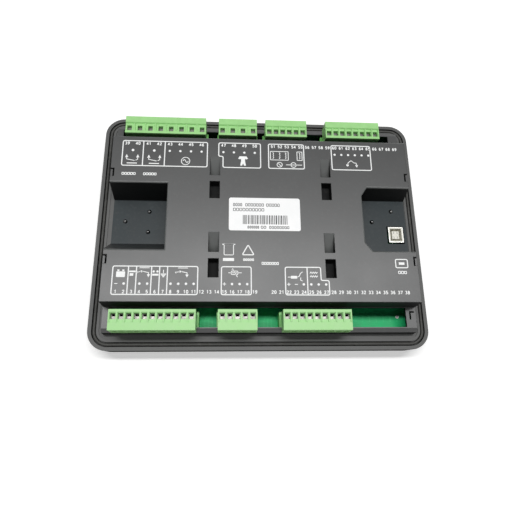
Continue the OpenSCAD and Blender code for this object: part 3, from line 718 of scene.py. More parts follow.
@dataclass(frozen=True)
class Drawing:
    """Lines and filled shapes of a printed sign, in millimetres.

    Attributes:
        thin: middles of thin lines.
        under: middles of thin lines that pass under others.
        bold: middles of bold lines.
        plates: outlines of filled shapes.
        boxes: filled rectangles.
        dots: middle and radius of filled circles.
        rings: circular lines.
    """

    thin: tuple[Path, ...] = ()
    under: tuple[Path, ...] = ()
    bold: tuple[Path, ...] = ()
    plates: tuple[Path, ...] = ()
    boxes: tuple[Box, ...] = ()
    dots: tuple[tuple[float, float, float], ...] = ()
    rings: tuple[Ring, ...] = ()

    def draw(self, print_: Relief, thin: float, bold: float, x: float = 0.0, y: float = 0.0) -> None:
        """Add the sign to a print.

        Args:
            print_: the print.
            thin: width of a thin line.
            bold: width of a bold line.
            x: how far the sign shifts along X.
            y: how far it shifts along Y.
        """
        for paths, width, layer in ((self.thin, thin, 0), (self.under, thin, 1), (self.bold, bold, 0)):
            for path in paths:
                print_.ribbon([(x + px, y + py) for px, py in path], width, layer=layer)
        for outline in self.plates:
            print_.plate([(x + px, y + py) for px, py in outline])
        for x0, y0, x1, y1 in self.boxes:
            print_.box(x + x0, y + y0, x + x1, y + y1)
        for dot_x, dot_y, radius in self.dots:
            print_.disc((x + dot_x, y + dot_y), radius)
        for ring in self.rings:
            path = arc((x + ring.x, y + ring.y), ring.radius, 0.0, 360.0, ring.steps)[:-1]
            print_.ribbon(path, ring.width, closed=True)


@dataclass(frozen=True)
class BlankWord:
    """How a row of blank boxes stands in for a word.

    Attributes:
        side: space at each side of a box.
        edge: space below and above it.
        line: width of its line.
        corner: rounding of its corners.
    """

    side: float
    edge: float
    line: float
    corner: float

    def write(self, print_: Relief, place: Box, count: int) -> None:
        """Add a row of boxes to a print.

        Args:
            print_: the print.
            place: left, lower, right and upper end of the row.
            count: number of boxes.
        """
        x0, y0, x1, y1 = place
        step = (x1 - x0) / count
        for k in range(count):
            left = x0 + k * step
            corners = rectangle(left + self.side, y0 + self.edge, left + step - self.side, y1 - self.edge)
            print_.outline(corners, self.line, self.corner)


OUTPUT_SIGN = Drawing(
    thin=(((-3.4, 2.7), (3.2, 2.7)), ((-4.6, -0.4), (-2.2, 0.2))),
    under=(((-1.0, 0.2), (2.7, -0.6), (2.7, -2.0)),),
    plates=(((1.6, -1.8), (2.7, -3.8), (3.8, -1.8)),),
    dots=((-2.0, 0.2, 0.7), (-4.6, -0.4, 0.6)),
)
CHANGEOVER_SIGN = Drawing(
    thin=(((-3.9, 4.7), (-3.9, 3.2), (1.8, 2.0)), ((3.9, 4.7), (3.9, 3.0), (2.5, 2.2))),
    bold=(((-3.6, 0.0), (3.6, 0.0)),),
    plates=(((-5.0, 4.5), (-2.8, 4.5), (-3.9, 7.0)), ((2.8, 4.5), (5.0, 4.5), (3.9, 7.0))),
)
PLUS_SIGN = Drawing(thin=(((-1.1, 0.0), (1.1, 0.0)),), under=(((0.0, -1.1), (0.0, 1.1)),))
MINUS_SIGN = Drawing(thin=(((-1.0, 0.0), (1.0, 0.0)),))
NEAR_SIGNS = Drawing(
    thin=(
        ((-66.9, -39.6), (-66.9, -42.6)),
        ((-23.8, -41.4), (-14.8, -41.4)),
        ((-20.8, -38.9), (-17.6, -44.4)),
        ((16.4, -44.2), (18.6, -44.2)),
        ((22.6, -44.2), (24.4, -43.4), (25.0, -41.6), (26.6, -40.4)),
        ((25.2, -44.4), (25.0, -46.2), (26.4, -46.9)),
        *([(31.6 + 0.75 * k, y + (0.5 if k % 2 else -0.5)) for k in range(8)] for y in (-41.0, -43.6)),
    ),
    bold=(
        ((-68.7, -42.6), (-65.1, -42.6)),
        ((-68.1, -43.5), (-65.7, -43.5)),
        ((-67.5, -44.4), (-66.3, -44.4)),
    ),
    plates=(
        rounded(rectangle(-97.8, -44.8, -92.0, -40.9), 0.5),
        rounded(rectangle(18.4, -45.2, 22.8, -43.3), 0.5),
        ((-21.6, -39.4), (-21.0, -38.2), (-19.9, -39.3)),
    ),
    boxes=(
        (-97.2, -40.6, -95.8, -39.6),
        (-94.0, -40.6, -92.6, -39.6),
        (-89.4, -41.4, -85.2, -40.3),
        (-89.0, -43.9, -86.6, -42.1),
        (-74.2, -43.7, -70.1, -42.4),
    ),
    dots=((-73.4, -40.8, 0.75), (-70.9, -40.8, 0.75)),
)
FAR_SIGNS = Drawing(
    thin=(
        [(-57.1 + 0.35 * k, 41.9 + 1.2 * math.sin(k * math.tau / 11)) for k in range(12)],
        *(arc((x, y), 0.85, -80.0, 80.0, 8) for x in (7.7, 12.4, 16.9, 27.2) for y in (46.4, 48.0, 49.6)),
        ((11.9, 41.6), (14.0, 39.4)),
        ((17.6, 40.6), (29.4, 40.6)),
        ((63.2, 41.6), (63.8, 43.4), (66.0, 45.2), (68.2, 43.4), (69.8, 43.2), (70.0, 41.2)),
    ),
    plates=(
        ((-16.3, 46.7), (-11.3, 46.7), (-10.2, 44.8), (-11.7, 44.2), (-12.3, 45.0), (-12.4, 43.0),
         (-11.7, 39.2), (-13.1, 39.2), (-13.8, 41.0), (-14.5, 39.2), (-15.9, 39.2), (-15.2, 43.0),
         (-15.3, 45.0), (-15.9, 44.2), (-17.4, 44.8)),
        ((68.9, 41.6), (71.1, 41.6), (70.0, 39.6)),
    ),
    dots=((63.2, 41.4, 0.95), (-93.0, 49.8, 0.95), (-77.9, 49.8, 0.95)),
    rings=(
        Ring(-55.2, 41.9, 3.0, 0.5, 32),
        Ring(12.9, 40.6, 1.9, 0.5, 24),
        Ring(23.1, 40.6, 1.9, 0.5, 24),
    ),
)
BADGES = Drawing(
    bold=(((-28.0, -21.2), (-19.2, -21.2)),),
    boxes=((-27.5, -33.1, -20.0, -31.0), (94.2, -34.9, 98.2, -33.1)),
)


class Row(NamedTuple):
    """A row of numbered terminals: first and last number, X of the first and spacing."""

    first: int
    last: int
    x: float
    pitch: float


@dataclass
class PrintedLegend:
    """White print on the rear face: terminal numbers, frames and plain circuit signs.

    Attributes:
        face_z: height of the rear face.
        ink: thickness of the print.
        line: width of a frame's line.
        thin: width of a sign's line.
        corner: rounding of a frame's corners.
        digit_h: height of a digit.
        dot: radius of a terminal's dot.
        near: lower and upper edge of the near frames.
        far: lower and upper edge of the far frames.
        number_y: middle of the near and of the far numbers.
        dot_y: middle of the near and of the far dots.
        last_near: highest number in the near row.
        rows: the rows of terminals.
        word: look of a blank word.
        places: X of every terminal number.
    """

    face_z: float = 41.7
    ink: float = 0.06
    line: float = 0.72
    thin: float = 0.5
    corner: float = 1.3
    digit_h: float = 2.45
    dot: float = 0.85
    near: Point = (-56.5, -37.2)
    far: Point = (37.5, 57.4)
    number_y: Point = (-54.6, 55.4)
    dot_y: Point = (-49.2, 49.8)
    last_near: int = 38
    rows: tuple[Row, ...] = (
        Row(1, 19, -97.5, 5.08),
        Row(20, 38, 6.8, 5.08),
        Row(39, 46, -97.3, 7.62),
        Row(47, 50, -28.1, 7.62),
        Row(51, 69, 8.3, 5.08),
    )
    word: BlankWord = BlankWord(side=0.3, edge=0.25, line=0.5, corner=0.3)
    places: dict[int, float] = field(default_factory=dict)

    def __post_init__(self) -> None:
        """Work out the X of every terminal number."""
        for row in self.rows:
            for number in range(row.first, row.last + 1):
                self.places[number] = row.x + (number - row.first) * row.pitch

    def build(self, shop: PaintShop) -> None:
        """Print the legend.

        Args:
            shop: where its ink is mixed.
        """
        print_ = Relief("printed_legend", self.face_z, self.face_z + self.ink)
        self._frames(print_)
        self._terminals(print_)
        self._signs(print_)
        self._badges(print_)
        print_.place(shop, INK_WHITE, "housing", "label_white")

    def _frames(self, print_: Relief) -> None:
        """Draw the frames round the groups of terminals, and the lines that part them.

        Args:
            print_: the print.
        """
        near_frames = ((-100.2, -44.2), (-28.4, -8.4))
        far_frames = ((-100.3, -39.75), (4.9, 31.0), (51.6, 81.0))
        near_parts = (-90.0, -84.7, -74.8, -69.5, -64.3, 29.75)
        far_parts = (-85.7, -70.3)
        for (low, high), frames, parts in (
            (self.near, near_frames, near_parts),
            (self.far, far_frames, far_parts),
        ):
            for left, right in frames:
                print_.outline(rectangle(left, low, right, high), self.line, self.corner)
            for x in parts:
                print_.ribbon([(x, low + self.line / 2), (x, high - self.line / 2)], self.line)
        low, high = self.near
        stepped = [(14.75, low), (44.6, low), (44.5, -46.4), (39.1, -46.4), (39.1, high), (14.75, high)]
        print_.outline(stepped, self.line, self.corner)
        low, high = self.far
        notched = [(-28.3, low), (-1.0, low), (-1.0, high), (-31.5, high), (-31.5, 46.4), (-28.3, 46.4)]
        print_.outline(notched, self.line, self.corner)

    def _terminals(self, print_: Relief) -> None:
        """Number the terminals, and mark single ones with dots and polarity signs.

        Args:
            print_: the print.
        """
        for number, x in self.places.items():
            y = self.number_y[number > self.last_near]
            print_.number(str(number), (x, y), self.digit_h)
        near_dots = (2, 4, 5, *range(8, 12), *range(16, 19), *range(24, 28))
        far_dots = (*range(43, 51), *range(60, 66))
        for number in near_dots + far_dots:
            y = self.dot_y[number > self.last_near]
            print_.disc((self.places[number], y), self.dot)
        for number, sign in ((1, MINUS_SIGN), (23, MINUS_SIGN), (15, PLUS_SIGN), (22, PLUS_SIGN)):
            sign.draw(print_, self.thin, self.line, self.places[number], self.dot_y[0])

    def _signs(self, print_: Relief) -> None:
        """Draw the circuit signs in the frames.

        Args:
            print_: the print.
        """
        NEAR_SIGNS.draw(print_, self.thin, self.line)
        FAR_SIGNS.draw(print_, self.thin, self.line)
        for x in (-79.4, -54.0):
            OUTPUT_SIGN.draw(print_, self.thin, self.line, x, -41.0)
        for x in (-93.2, -77.6):
            CHANGEOVER_SIGN.draw(print_, self.thin, self.line, x, 39.4)
        for corners, radius in (
            (rectangle(-21.8, -42.6, -17.4, -40.2), 0.6),
            (rectangle(6.3, 44.4, 19.4, 51.4), 0.4),
            (rectangle(25.9, 44.4, 29.6, 51.4), 0.4),
        ):
            print_.outline(corners, self.thin, radius)

    def _badges(self, print_: Relief) -> None:
        """Draw the plain marks between the legends.

        Args:
            print_: the print.
        """
        for place, count in (
            ((-99.8, 30.0, -89.9, 32.1), 5),
            ((-84.8, 30.0, -75.3, 32.1), 5),
            ((-1.3, -35.7, 10.6, -33.6), 7),
            ((93.1, -41.5, 99.3, -39.3), 3),
            ((-13.9, -33.0, -6.4, -31.2), 5),
        ):
            self.word.write(print_, place, count)
        BADGES.draw(print_, self.thin, self.line)
        print_.outline(rectangle(-26.8, -28.8, -20.4, -21.2), self.thin, 0.8)
        print_.outline([(-14.4, -28.6), (-6.4, -28.6), (-10.4, -21.4)], self.line, 1.0)
        print_.outline(rectangle(92.0, -37.0, 100.4, -31.0), self.line, 1.0)


@dataclass
class RatingLabel:
    """Print on the white label: blank boxes for words and a bar pattern that says nothing.

    Attributes:
        face_z: height of the label's face.
        ink: thickness of the print.
        word: look of a blank word.
        words: place of each word and its number of boxes.
        bars: left, lower, right and upper end of the bars.
        bar_widths: widths of the bars, over and over.
        bar_gaps: gaps between them, over and over.
    """

    face_z: float = 41.85
    ink: float = 0.005
    word: BlankWord = BlankWord(side=0.35, edge=0.2, line=0.42, corner=0.4)
    words: tuple[tuple[Box, int], ...] = (
        ((-21.0, 7.2, -14.4, 9.6), 4),
        ((-12.4, 7.2, 1.0, 9.6), 7),
        ((2.4, 7.2, 12.2, 9.6), 5),
        ((-21.0, 3.5, 1.2, 5.9), 10),
        ((-10.9, -9.5, -2.6, -7.4), 6),
        ((-1.6, -9.5, 2.4, -7.4), 2),
        ((4.2, -9.5, 18.6, -7.4), 8),
    )
    bars: Box = (-14.0, -6.2, 17.4, 0.6)
    bar_widths: tuple[float, ...] = (0.55, 0.85, 0.5, 0.7, 0.55, 0.95, 0.6)
    bar_gaps: tuple[float, ...] = (0.5, 0.45, 0.65, 0.5, 0.7)

    def build(self, shop: PaintShop) -> None:
        """Print the label.

        Args:
            shop: where its ink is mixed.
        """
        print_ = Relief("label_print", self.face_z, self.face_z + self.ink)
        for place, count in self.words:
            self.word.write(print_, place, count)
        print_.place(shop, INK_DARK, "housing", "label_white")
        bars = Relief("label_bars", self.face_z, self.face_z + self.ink)
        left, low, end, high = self.bars
        widths, gaps = cycle(self.bar_widths), cycle(self.bar_gaps)
        while left < end:
            right = left + next(widths)
            bars.box(left, low, right, high)
            left = right + next(gaps)
        bars.place(shop, INK_GREY, "housing", "label_white")


@dataclass
class Boards:
    """Copper, solder and parts that dress the circuit boards.

    Attributes:
        top_z: height of the main board's rear face.
        copper: thickness of a track.
        row_y: distance of the terminal rows from the middle.
        pitch: spacing of the spare terminal's tracks.
        spare_x: X of the first of those tracks.
        spare_tracks: number of those tracks.
        near_x: X of the tracks between the near headers.
        far_x: X of the tracks between the far headers.
        hidden_y: where the tracks pass under the case.
        solder: middle and radius of the solder spot.
    """

    top_z: float = 13.0
    copper: float = 0.05
    row_y: float = 70.0
    pitch: float = 5.08
    spare_x: float = 64.0
    spare_tracks: int = 8
    near_x: tuple[float, ...] = (-40.2, -37.6, -35.0, 2.0, 4.6, 7.2)
    far_x: tuple[float, ...] = (-38.5, -36.0, 38.0, 41.0, 44.0)
    hidden_y: float = 62.4
    solder: tuple[Point, float] = ((99.9, -66.2), 1.3)

    def build(self, shop: PaintShop) -> None:
        """Lay the tracks and the solder, and dress the boards and what stands on them.

        Args:
            shop: where the materials are mixed.
        """
        shop.dress_nodes({
            "main_board": MASK,
            "display_board": MASK,
            "board_link": BLACK,
            "chips": BLACK,
            "tact_switches": BLACK,
            "relays": RELAY,
            "capacitors": SLEEVE,
            "board_screws": STEEL,
            "header_pins": BRASS,
            "indicator_leds": LAMP,
        })
        self._tracks(shop)
        # The solder spot's near-white colour is a painted glint.
        pads = Relief("solder_pads", self.top_z, self.top_z + 2 * self.copper)
        pads.disc(*self.solder)
        pads.place(shop, SOLDER_GLINT, "housing", "pin_brass")

    def _tracks(self, shop: PaintShop) -> None:
        """Lay masked tracks in the parts of the board that show through the troughs.

        Args:
            shop: where the material is mixed.
        """
        tracks = Relief("board_tracks", self.top_z, self.top_z + self.copper)
        for k in range(self.spare_tracks):
            x = self.spare_x + k * self.pitch
            bend = -66.4 + 0.5 * (k % 3)
            path = [(x, -self.row_y), (x, bend), (x - 1.4, bend + 1.5), (x - 1.4, -self.hidden_y)]
            tracks.ribbon(path, 0.7)
        tracks.ribbon([(60.0, -74.6), (101.0, -74.6)], 1.6)
        for x in self.near_x:
            tracks.ribbon([(x, -75.0), (x, -68.0), (x + 1.2, -66.6), (x + 1.2, -self.hidden_y)], 0.8)
        for x in self.far_x:
            tracks.ribbon([(x, 75.0), (x, 69.0), (x - 1.0, 67.8), (x - 1.0, self.hidden_y)], 0.8)
        tracks.place(shop, MASK_LINE, "housing", "board_green")


def soften(name: str, width: float) -> None:
    """Round the sharp edges of a CAD node a little.

    Args:
        name: the node.
        width: width of the rounding in millimetres.
    """
    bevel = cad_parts[name].modifiers.new("soft_edges", "BEVEL")
    bevel.width = width * MM
    bevel.segments = 2
    bevel.limit_method = "ANGLE"
    bevel.angle_limit = SHARP
    bevel.harden_normals = False


@dataclass
class Terminals:
    """Pluggable terminal blocks and the headers that they sit in.

    Attributes:
        blocks: number of plugs.
        plug_edge: rounding of a plug's edges.
        header_edge: rounding of a header's edges.
    """

    blocks: int = 7
    plug_edge: float = 0.16
    header_edge: float = 0.12

    def build(self, shop: PaintShop) -> None:
        """Dress every block.

        Args:
            shop: where the materials are mixed.
        """
        for i in range(1, self.blocks + 1):
            shop.dress_nodes({
                f"plug_{i}": TERMINAL,
                f"header_{i}": SOCKET_GREEN,
                f"cages_{i}": TINNED,
                f"clamp_screws_{i}": STEEL,
            })
            soften(f"plug_{i}", self.plug_edge)
            soften(f"header_{i}", self.header_edge)


class Skin(IntEnum):
    """Material slots of the rear case: plain plastic, then painted shade on bay floors, pips and walls,
    then a painted highlight on rims and ramps.
    """

    CASE = 0
    LINING = 1
    PIP = 2
    WALL = 3
    RIM = 4


SKINS = {Skin.CASE: CASE, Skin.LINING: LINING, Skin.PIP: PIP, Skin.WALL: WALL, Skin.RIM: RIM}


@dataclass
class Enclosure:
    """Bezel, seal and rear case.

    Attributes:
        bezel_edge: rounding of the bezel's edges.
        face_edge: rounding of the edges of the rear face.
        rim_edge: rounding of the bays' rims and of the far edge.
        face_z: height of the rear face.
        far_y: distance of the rear face's far edge.
        end_x: distance beyond which an edge along Y belongs to an end of the case.
        bay_y: how far the bays reach from the middle.
        bay_x: inner ends of the left and right bay.
        bay_from: distance beyond which a face can belong to a bay.
        bays: side and floor height of each bay.
        pips: places of the domed pips.
        pip_reach: how far a pip's faces lie from its middle.
        tie_floor_z: height of the floor under the tie anchors.
        level: least upward part of a level face's normal.
        ramp: least and greatest upward part of a ramp's normal.
        upright: greatest upward part of a wall's normal.
        slack: how far a face may lie from its height.
        face_slack: how far an edge may lie below the rear face.
        weld: distance within which corners are joined.
        clip: inner edge, outer edge, middle and half width of a clip slot's tongue.
        clip_shift: how much further from the middle the near tongues lie.
        clip_drop: how far a tongue lies below the rear face.
    """

    bezel_edge: float = 0.35
    face_edge: float = 0.3
    rim_edge: float = 0.9
    face_z: float = 41.7
    far_y: float = 58.0
    end_x: float = 105.0
    bay_y: float = 25.4
    bay_x: Point = (-67.0, 71.9)
    bay_from: float = 60.0
    bays: tuple[Point, Point] = ((-1.0, 18.3), (1.0, 25.4))
    pips: tuple[Point, ...] = ((-82.8, 11.8), (-100.0, 3.8), (-83.0, -4.3), (98.5, 11.8), (83.1, 3.1))
    pip_reach: float = 1.62
    tie_floor_z: float = 34.7
    level: float = 0.999
    ramp: Point = (0.85, 0.95)
    upright: float = 0.4
    slack: float = 0.01
    face_slack: float = 0.05
    weld: float = 0.002
    clip: Box = (106.1, 107.5, 31.7, 2.6)
    clip_shift: float = 1.0
    clip_drop: float = 0.2

    def build(self, shop: PaintShop) -> None:
        """Dress the mouldings and the seal.

        Args:
            shop: where the materials are mixed.
        """
        shop.dress_nodes({
            "case_flange": FLANGE,
            "front_bezel": FLANGE,
            "panel_gasket": SEAL,
            "rating_label": PAPER,
        })
        soften("front_bezel", self.bezel_edge)
        self._shell(shop)
        self._tongues(shop)

    def _welded(self, source: bpy.types.Mesh) -> bmesh.types.BMesh:
        """Copy a mesh with its split corners joined again.

        Args:
            source: the mesh.

        Returns:
            The joined copy.
        """
        work = bmesh.new()
        work.from_mesh(source)
        bmesh.ops.remove_doubles(work, verts=work.verts, dist=self.weld * MM)
        return work

    def _loose(self, name: str) -> bpy.types.Object:
        """Make a loose copy of a CAD node.

        Args:
            name: the node.

        Returns:
            The copy.
        """
        work = self._welded(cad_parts[name].data)
        mesh = bpy.data.meshes.new(name + "_copy")
        work.to_mesh(mesh)
        work.free()
        copy = bpy.data.objects.new(name + "_copy", mesh)
        bpy.context.collection.objects.link(copy)
        return copy

    def _shell(self, shop: PaintShop) -> None:
        """Join the rear case and its tie anchors into one moulding with rounded edges, painted shade on the
        bay floors, pips and walls, and a painted highlight on the rims and ramps.

        Args:
            shop: where the materials are mixed.
        """
        case, anchors = self._loose("rear_case"), self._loose("tie_anchors")
        join = case.modifiers.new("join", "BOOLEAN")
        join.operation = "UNION"
        join.solver = "EXACT"
        join.object = anchors
        graph = bpy.context.evaluated_depsgraph_get()
        mesh = bpy.data.meshes.new_from_object(case.evaluated_get(graph))
        mesh.name = "rear_case_shell"
        mesh.materials.clear()
        for skin in Skin:
            mesh.materials.append(shop.material(SKINS[skin]))
        work = self._welded(mesh)
        bmesh.ops.dissolve_limit(work, angle_limit=math.radians(1.0), verts=work.verts, edges=work.edges)
        for face in work.faces:
            face.material_index = self._skin(face)
            face.smooth = face.smooth or face.material_index == Skin.PIP
        self._round_edges(work)
        work.to_mesh(mesh)
        work.free()
        for copy in (case, anchors):
            bpy.data.objects.remove(copy)
        shell = bpy.data.objects.new("rear_case_shell", mesh)
        bpy.context.collection.objects.link(shell)
        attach(shell, "housing")
        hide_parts("rear_case", "tie_anchors")
        LOG.info("rear_case_shell on housing")

    def _skin(self, face: bmesh.types.BMFace) -> Skin:
        """Tell which finish a face of the case has.

        Args:
            face: the face.

        Returns:
            Its material slot.
        """
        middle = face.calc_center_median() / MM
        rise = face.normal.z
        # Bay floors and pips take their darker finishes, painted shade.
        for side, floor in self.bays:
            if middle.x * side < self.bay_from or abs(middle.y) > self.bay_y:
                continue
            if rise > self.level and abs(middle.z - floor) < self.slack:
                return Skin.LINING
            if floor < middle.z < floor + self.pip_reach:
                if any(math.dist(middle.xy, spot) < self.pip_reach for spot in self.pips):
                    return Skin.PIP
        # Upright faces and the tie anchors' floor take the darker wall finish, painted shade; ramps take
        # the lighter rim finish, a painted highlight.
        in_tie = rise > self.level and abs(middle.z - self.tie_floor_z) < self.slack
        if in_tie or abs(rise) < self.upright:
            return Skin.WALL
        on_ramp = self.ramp[0] < rise < self.ramp[1] and middle.z > self.tie_floor_z
        return Skin.RIM if on_ramp else Skin.CASE

    def _face_edges(self, work: bmesh.types.BMesh, rims: bool) -> list[bmesh.types.BMEdge]:
        """Find the sharp edges of the rear face.

        Args:
            work: mesh of the case.
            rims: whether to find the bays' rims and the far edge, or all others.

        Returns:
            The edges.
        """
        found = []
        left, right = self.bay_x
        for edge in work.edges:
            ends = [corner.co / MM for corner in edge.verts]
            if len(edge.link_faces) != 2 or min(end.z for end in ends) < self.face_z - self.face_slack:
                continue
            if edge.calc_face_angle() < SHARP:
                continue
            in_bay = all(abs(end.y) < self.bay_y and not left < end.x < right for end in ends)
            on_end = abs(ends[0].x - ends[1].x) < self.slack and abs(ends[0].x) > self.end_x
            on_far = all(end.y > self.far_y for end in ends)
            if ((in_bay and not on_end) or on_far) == rims:
                found.append(edge)
        return found

    def _round_edges(self, work: bmesh.types.BMesh) -> None:
        """Round the edges of the rear face, the bays' rims most, and give the rims' rounding the lighter
        rim finish as a painted highlight.

        Args:
            work: mesh of the case.
        """
        keep_skin = -1
        # The rims' rounding takes the lighter rim finish, a painted highlight; the other roundings keep
        # their faces' finish.
        for rims, width, skin in ((True, self.rim_edge, Skin.RIM), (False, self.face_edge, keep_skin)):
            bmesh.ops.bevel(
                work,
                geom=self._face_edges(work, rims),
                offset=width * MM,
                offset_type="OFFSET",
                segments=3,
                profile=0.5,
                affect="EDGES",
                clamp_overlap=False,
                material=int(skin),
            )

    def _tongues(self, shop: PaintShop) -> None:
        """Fill most of each clip slot with its tongue.

        Args:
            shop: where the material is mixed.
        """
        tongues = Relief("clip_tongues", self.tie_floor_z, self.face_z - self.clip_drop)
        inner, outer, middle, half = self.clip
        for x0, x1 in ((inner, outer), (-outer, -inner)):
            for y in (middle, -middle - self.clip_shift):
                tongues.box(x0, y - half, x1, y + half)
        tongues.place(shop, CASE, "housing", "case_plastic")


@dataclass
class DataSocket:
    """Upright data socket in the right bay.

    Attributes:
        centre: middle of the socket.
        tongue_drop: how far the tongue's face lies below the socket's rim.
        tongue: half width and half depth of the tongue.
        contact: width, length and thickness of a contact.
        inset: how far a contact lies from the tongue's edge.
    """

    centre: Point = (100.3, -7.0)
    tongue_drop: float = 1.0
    tongue: Point = (2.6, 3.1)
    contact: tuple[float, float, float] = (0.6, 1.8, 0.05)
    inset: float = 0.3

    def build(self, shop: PaintShop) -> None:
        """Dress the socket and lay its contacts.

        Args:
            shop: where the materials are mixed.
        """
        shop.dress_nodes({"usb_shell": NICKEL, "usb_insulator": IVORY})
        width, length, thickness = self.contact
        tongue_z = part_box("usb_insulator")[1][2] / MM - self.tongue_drop
        contacts = Relief("data_contacts", tongue_z, tongue_z + thickness)
        x, y = self.centre
        for side in (-1, 1):
            for row in (-1, 1):
                left = x + side * self.tongue[0] / 2 - width / 2
                edge = y + row * (self.tongue[1] - self.inset)
                low, high = sorted((edge, edge - row * length))
                contacts.box(left, low, left + width, high)
        contacts.place(shop, TINNED, "housing", "pin_brass")


def pointer(x: float, y: float) -> list[Point]:
    """Give a triangle round the middle of a key that points along a direction.

    Args:
        x: the direction's X.
        y: the direction's Y.

    Returns:
        Its tip and the two corners of its foot.
    """
    tip, foot, half = 2.4, 1.6, 2.3
    return [
        (tip * x, tip * y),
        (-foot * x - half * y, -foot * y + half * x),
        (-foot * x + half * y, -foot * y - half * x),
    ]


class Mark(Enum):
    """Plain signs on the front keys."""

    STOP = "stop"
    MANUAL = "manual"
    AUTO = "auto"
    MUTE = "mute"
    START = "start"
    ACCEPT = "accept"
    UP = "up"
    DOWN = "down"
    LEFT = "left"
    RIGHT = "right"


KEY_SIGNS = {
    Mark.STOP: Drawing(rings=(Ring(0.0, 0.0, 3.6, 1.1, 32),)),
    Mark.MANUAL: Drawing(bold=(((-3.4, -2.6), (-3.4, 2.4), (0.0, -1.2), (3.4, 2.4), (3.4, -2.6)),)),
    Mark.AUTO: Drawing(
        bold=(arc((0.0, 0.0), 3.4, 70.0, 340.0, 28),),
        plates=(((1.6, -1.6), (4.8, -1.2), (3.0, 1.2)),),
    ),
    Mark.MUTE: Drawing(
        thin=(((-1.6, -1.6), (-4.4, 1.6)), ((-1.6, 1.6), (-4.4, -1.6))),
        plates=(((3.6, -1.1), (1.8, -1.1), (-0.2, -2.8), (-0.2, 2.8), (1.8, 1.1), (3.6, 1.1)),),
    ),
    Mark.START: Drawing(boxes=((-0.6, -3.6, 0.6, 3.6),)),
    Mark.ACCEPT: Drawing(thin=(((2.4, 0.2), (0.6, -1.8), (-2.6, 2.2)),)),
    Mark.UP: Drawing(plates=(pointer(0.0, 1.0),)),
    Mark.DOWN: Drawing(plates=(pointer(0.0, -1.0),)),
    Mark.LEFT: Drawing(plates=(pointer(1.0, 0.0),)),
    Mark.RIGHT: Drawing(plates=(pointer(-1.0, 0.0),)),
}
KEY_FINISHES = {Mark.STOP: KEY_RED, Mark.START: KEY_GREEN}


@dataclass
class FrontPanel:
    """Overlay, display and keys on the front.

    Attributes:
        overlay_z: height of the overlay's face.
        key_z: height of the keys' faces.
        key_edge: rounding of a key's edges.
        screen_z: height of the display's face.
        ink: thickness of a print.
        line: width of a printed line.
        bold: width of a bold line in a key's sign.
        window: left, lower, right and upper edge of the display opening.
        fields: printed frame and its corner rounding, for the display and each group of keys and lamps.
        lamp_y: middle of the lines beside the lamps.
        lamp_line: left and right end of those lines.
        segment: width and height of a segment block.
        segment_step: spacing of the blocks along and across.
        segment_rows: number of blocks in each row.
    """

    overlay_z: float = 0.7
    key_z: float = 0.3
    key_edge: float = 0.3
    screen_z: float = 4.1
    ink: float = 0.05
    line: float = 0.7
    bold: float = 1.0
    window: Box = (-39.0, 4.0, 39.0, 48.0)
    fields: tuple[tuple[Box, float], ...] = (
        ((-43.5, -0.5, 43.5, 52.5), 3.0),
        ((-84.0, -64.0, 84.0, -30.5), 4.0),
        ((-94.0, 2.0, -46.5, 50.0), 4.0),
        ((62.0, 2.0, 96.0, 50.0), 4.0),
    )
    lamp_y: tuple[float, ...] = (8.0, 20.0, 32.0, 44.0)
    lamp_line: Point = (75.0, 91.0)
    segment: Point = (3.2, 4.6)
    segment_step: Point = (5.4, 9.0)
    segment_rows: tuple[int, ...] = (10, 9, 8, 7)

    def build(self, shop: PaintShop) -> None:
        """Dress the front and print its signs.

        Args:
            shop: where the materials are mixed.
        """
        shop.dress_nodes({"front_overlay": FILM, "display_window": PANE, "lcd_module": FRAME})
        for mark in Mark:
            self._key(shop, mark)
        self._print(shop)
        self._screen(shop)

    def _key(self, shop: PaintShop, mark: Mark) -> None:
        """Dress one key and print its sign on its face.

        Args:
            shop: where the materials are mixed.
            mark: which key.
        """
        name = f"{mark.value}_key"
        shop.dress_nodes({name: KEY_FINISHES.get(mark, KEY_GREY)})
        soften(name, self.key_edge)
        low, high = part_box(name)
        x, y = (low[0] + high[0]) / 2 / MM, (low[1] + high[1]) / 2 / MM
        sign = Relief(f"{mark.value}_sign", self.key_z - self.ink, self.key_z)
        KEY_SIGNS[mark].draw(sign, self.line, self.bold, x, y)
        sign.place(shop, INK_WHITE, f"{mark.value}_button", "label_white")

    def _print(self, shop: PaintShop) -> None:
        """Print the lines on the overlay.

        Args:
            shop: where the ink is mixed.
        """
        lines = Relief("overlay_print", self.overlay_z - self.ink, self.overlay_z)
        for corners, radius in self.fields:
            lines.outline(rectangle(*corners), self.line, radius)
        left, right = self.lamp_line
        for y in self.lamp_y:
            lines.box(left, y - 0.6, right, y + 0.6)
        lines.place(shop, INK_WHITE, "housing", "label_white")

    def _screen(self, shop: PaintShop) -> None:
        """Fit the display's face and the rows of segments on it.

        Args:
            shop: where the materials are mixed.
        """
        left, low, right, high = self.window
        face = Relief("display_face", self.screen_z - self.ink, self.screen_z)
        face.box(left, low, right, high)
        face.place(shop, SCREEN, "housing", "window_glass")
        rows = Relief("display_segments", self.screen_z - 2 * self.ink, self.screen_z - self.ink)
        width, height = self.segment
        for row, count in enumerate(self.segment_rows):
            y = high - 7.0 - row * self.segment_step[1]
            for k in range(count):
                x = right - 6.0 - k * self.segment_step[0]
                rows.outline(rectangle(x - width, y - height, x, y), 0.6, 0.4)
        rows.ribbon([(left + 6.0, low + 5.0), (left + 6.0, high - 5.0)], 1.2)
        rows.place(shop, SEGMENT, "housing", "window_glass")


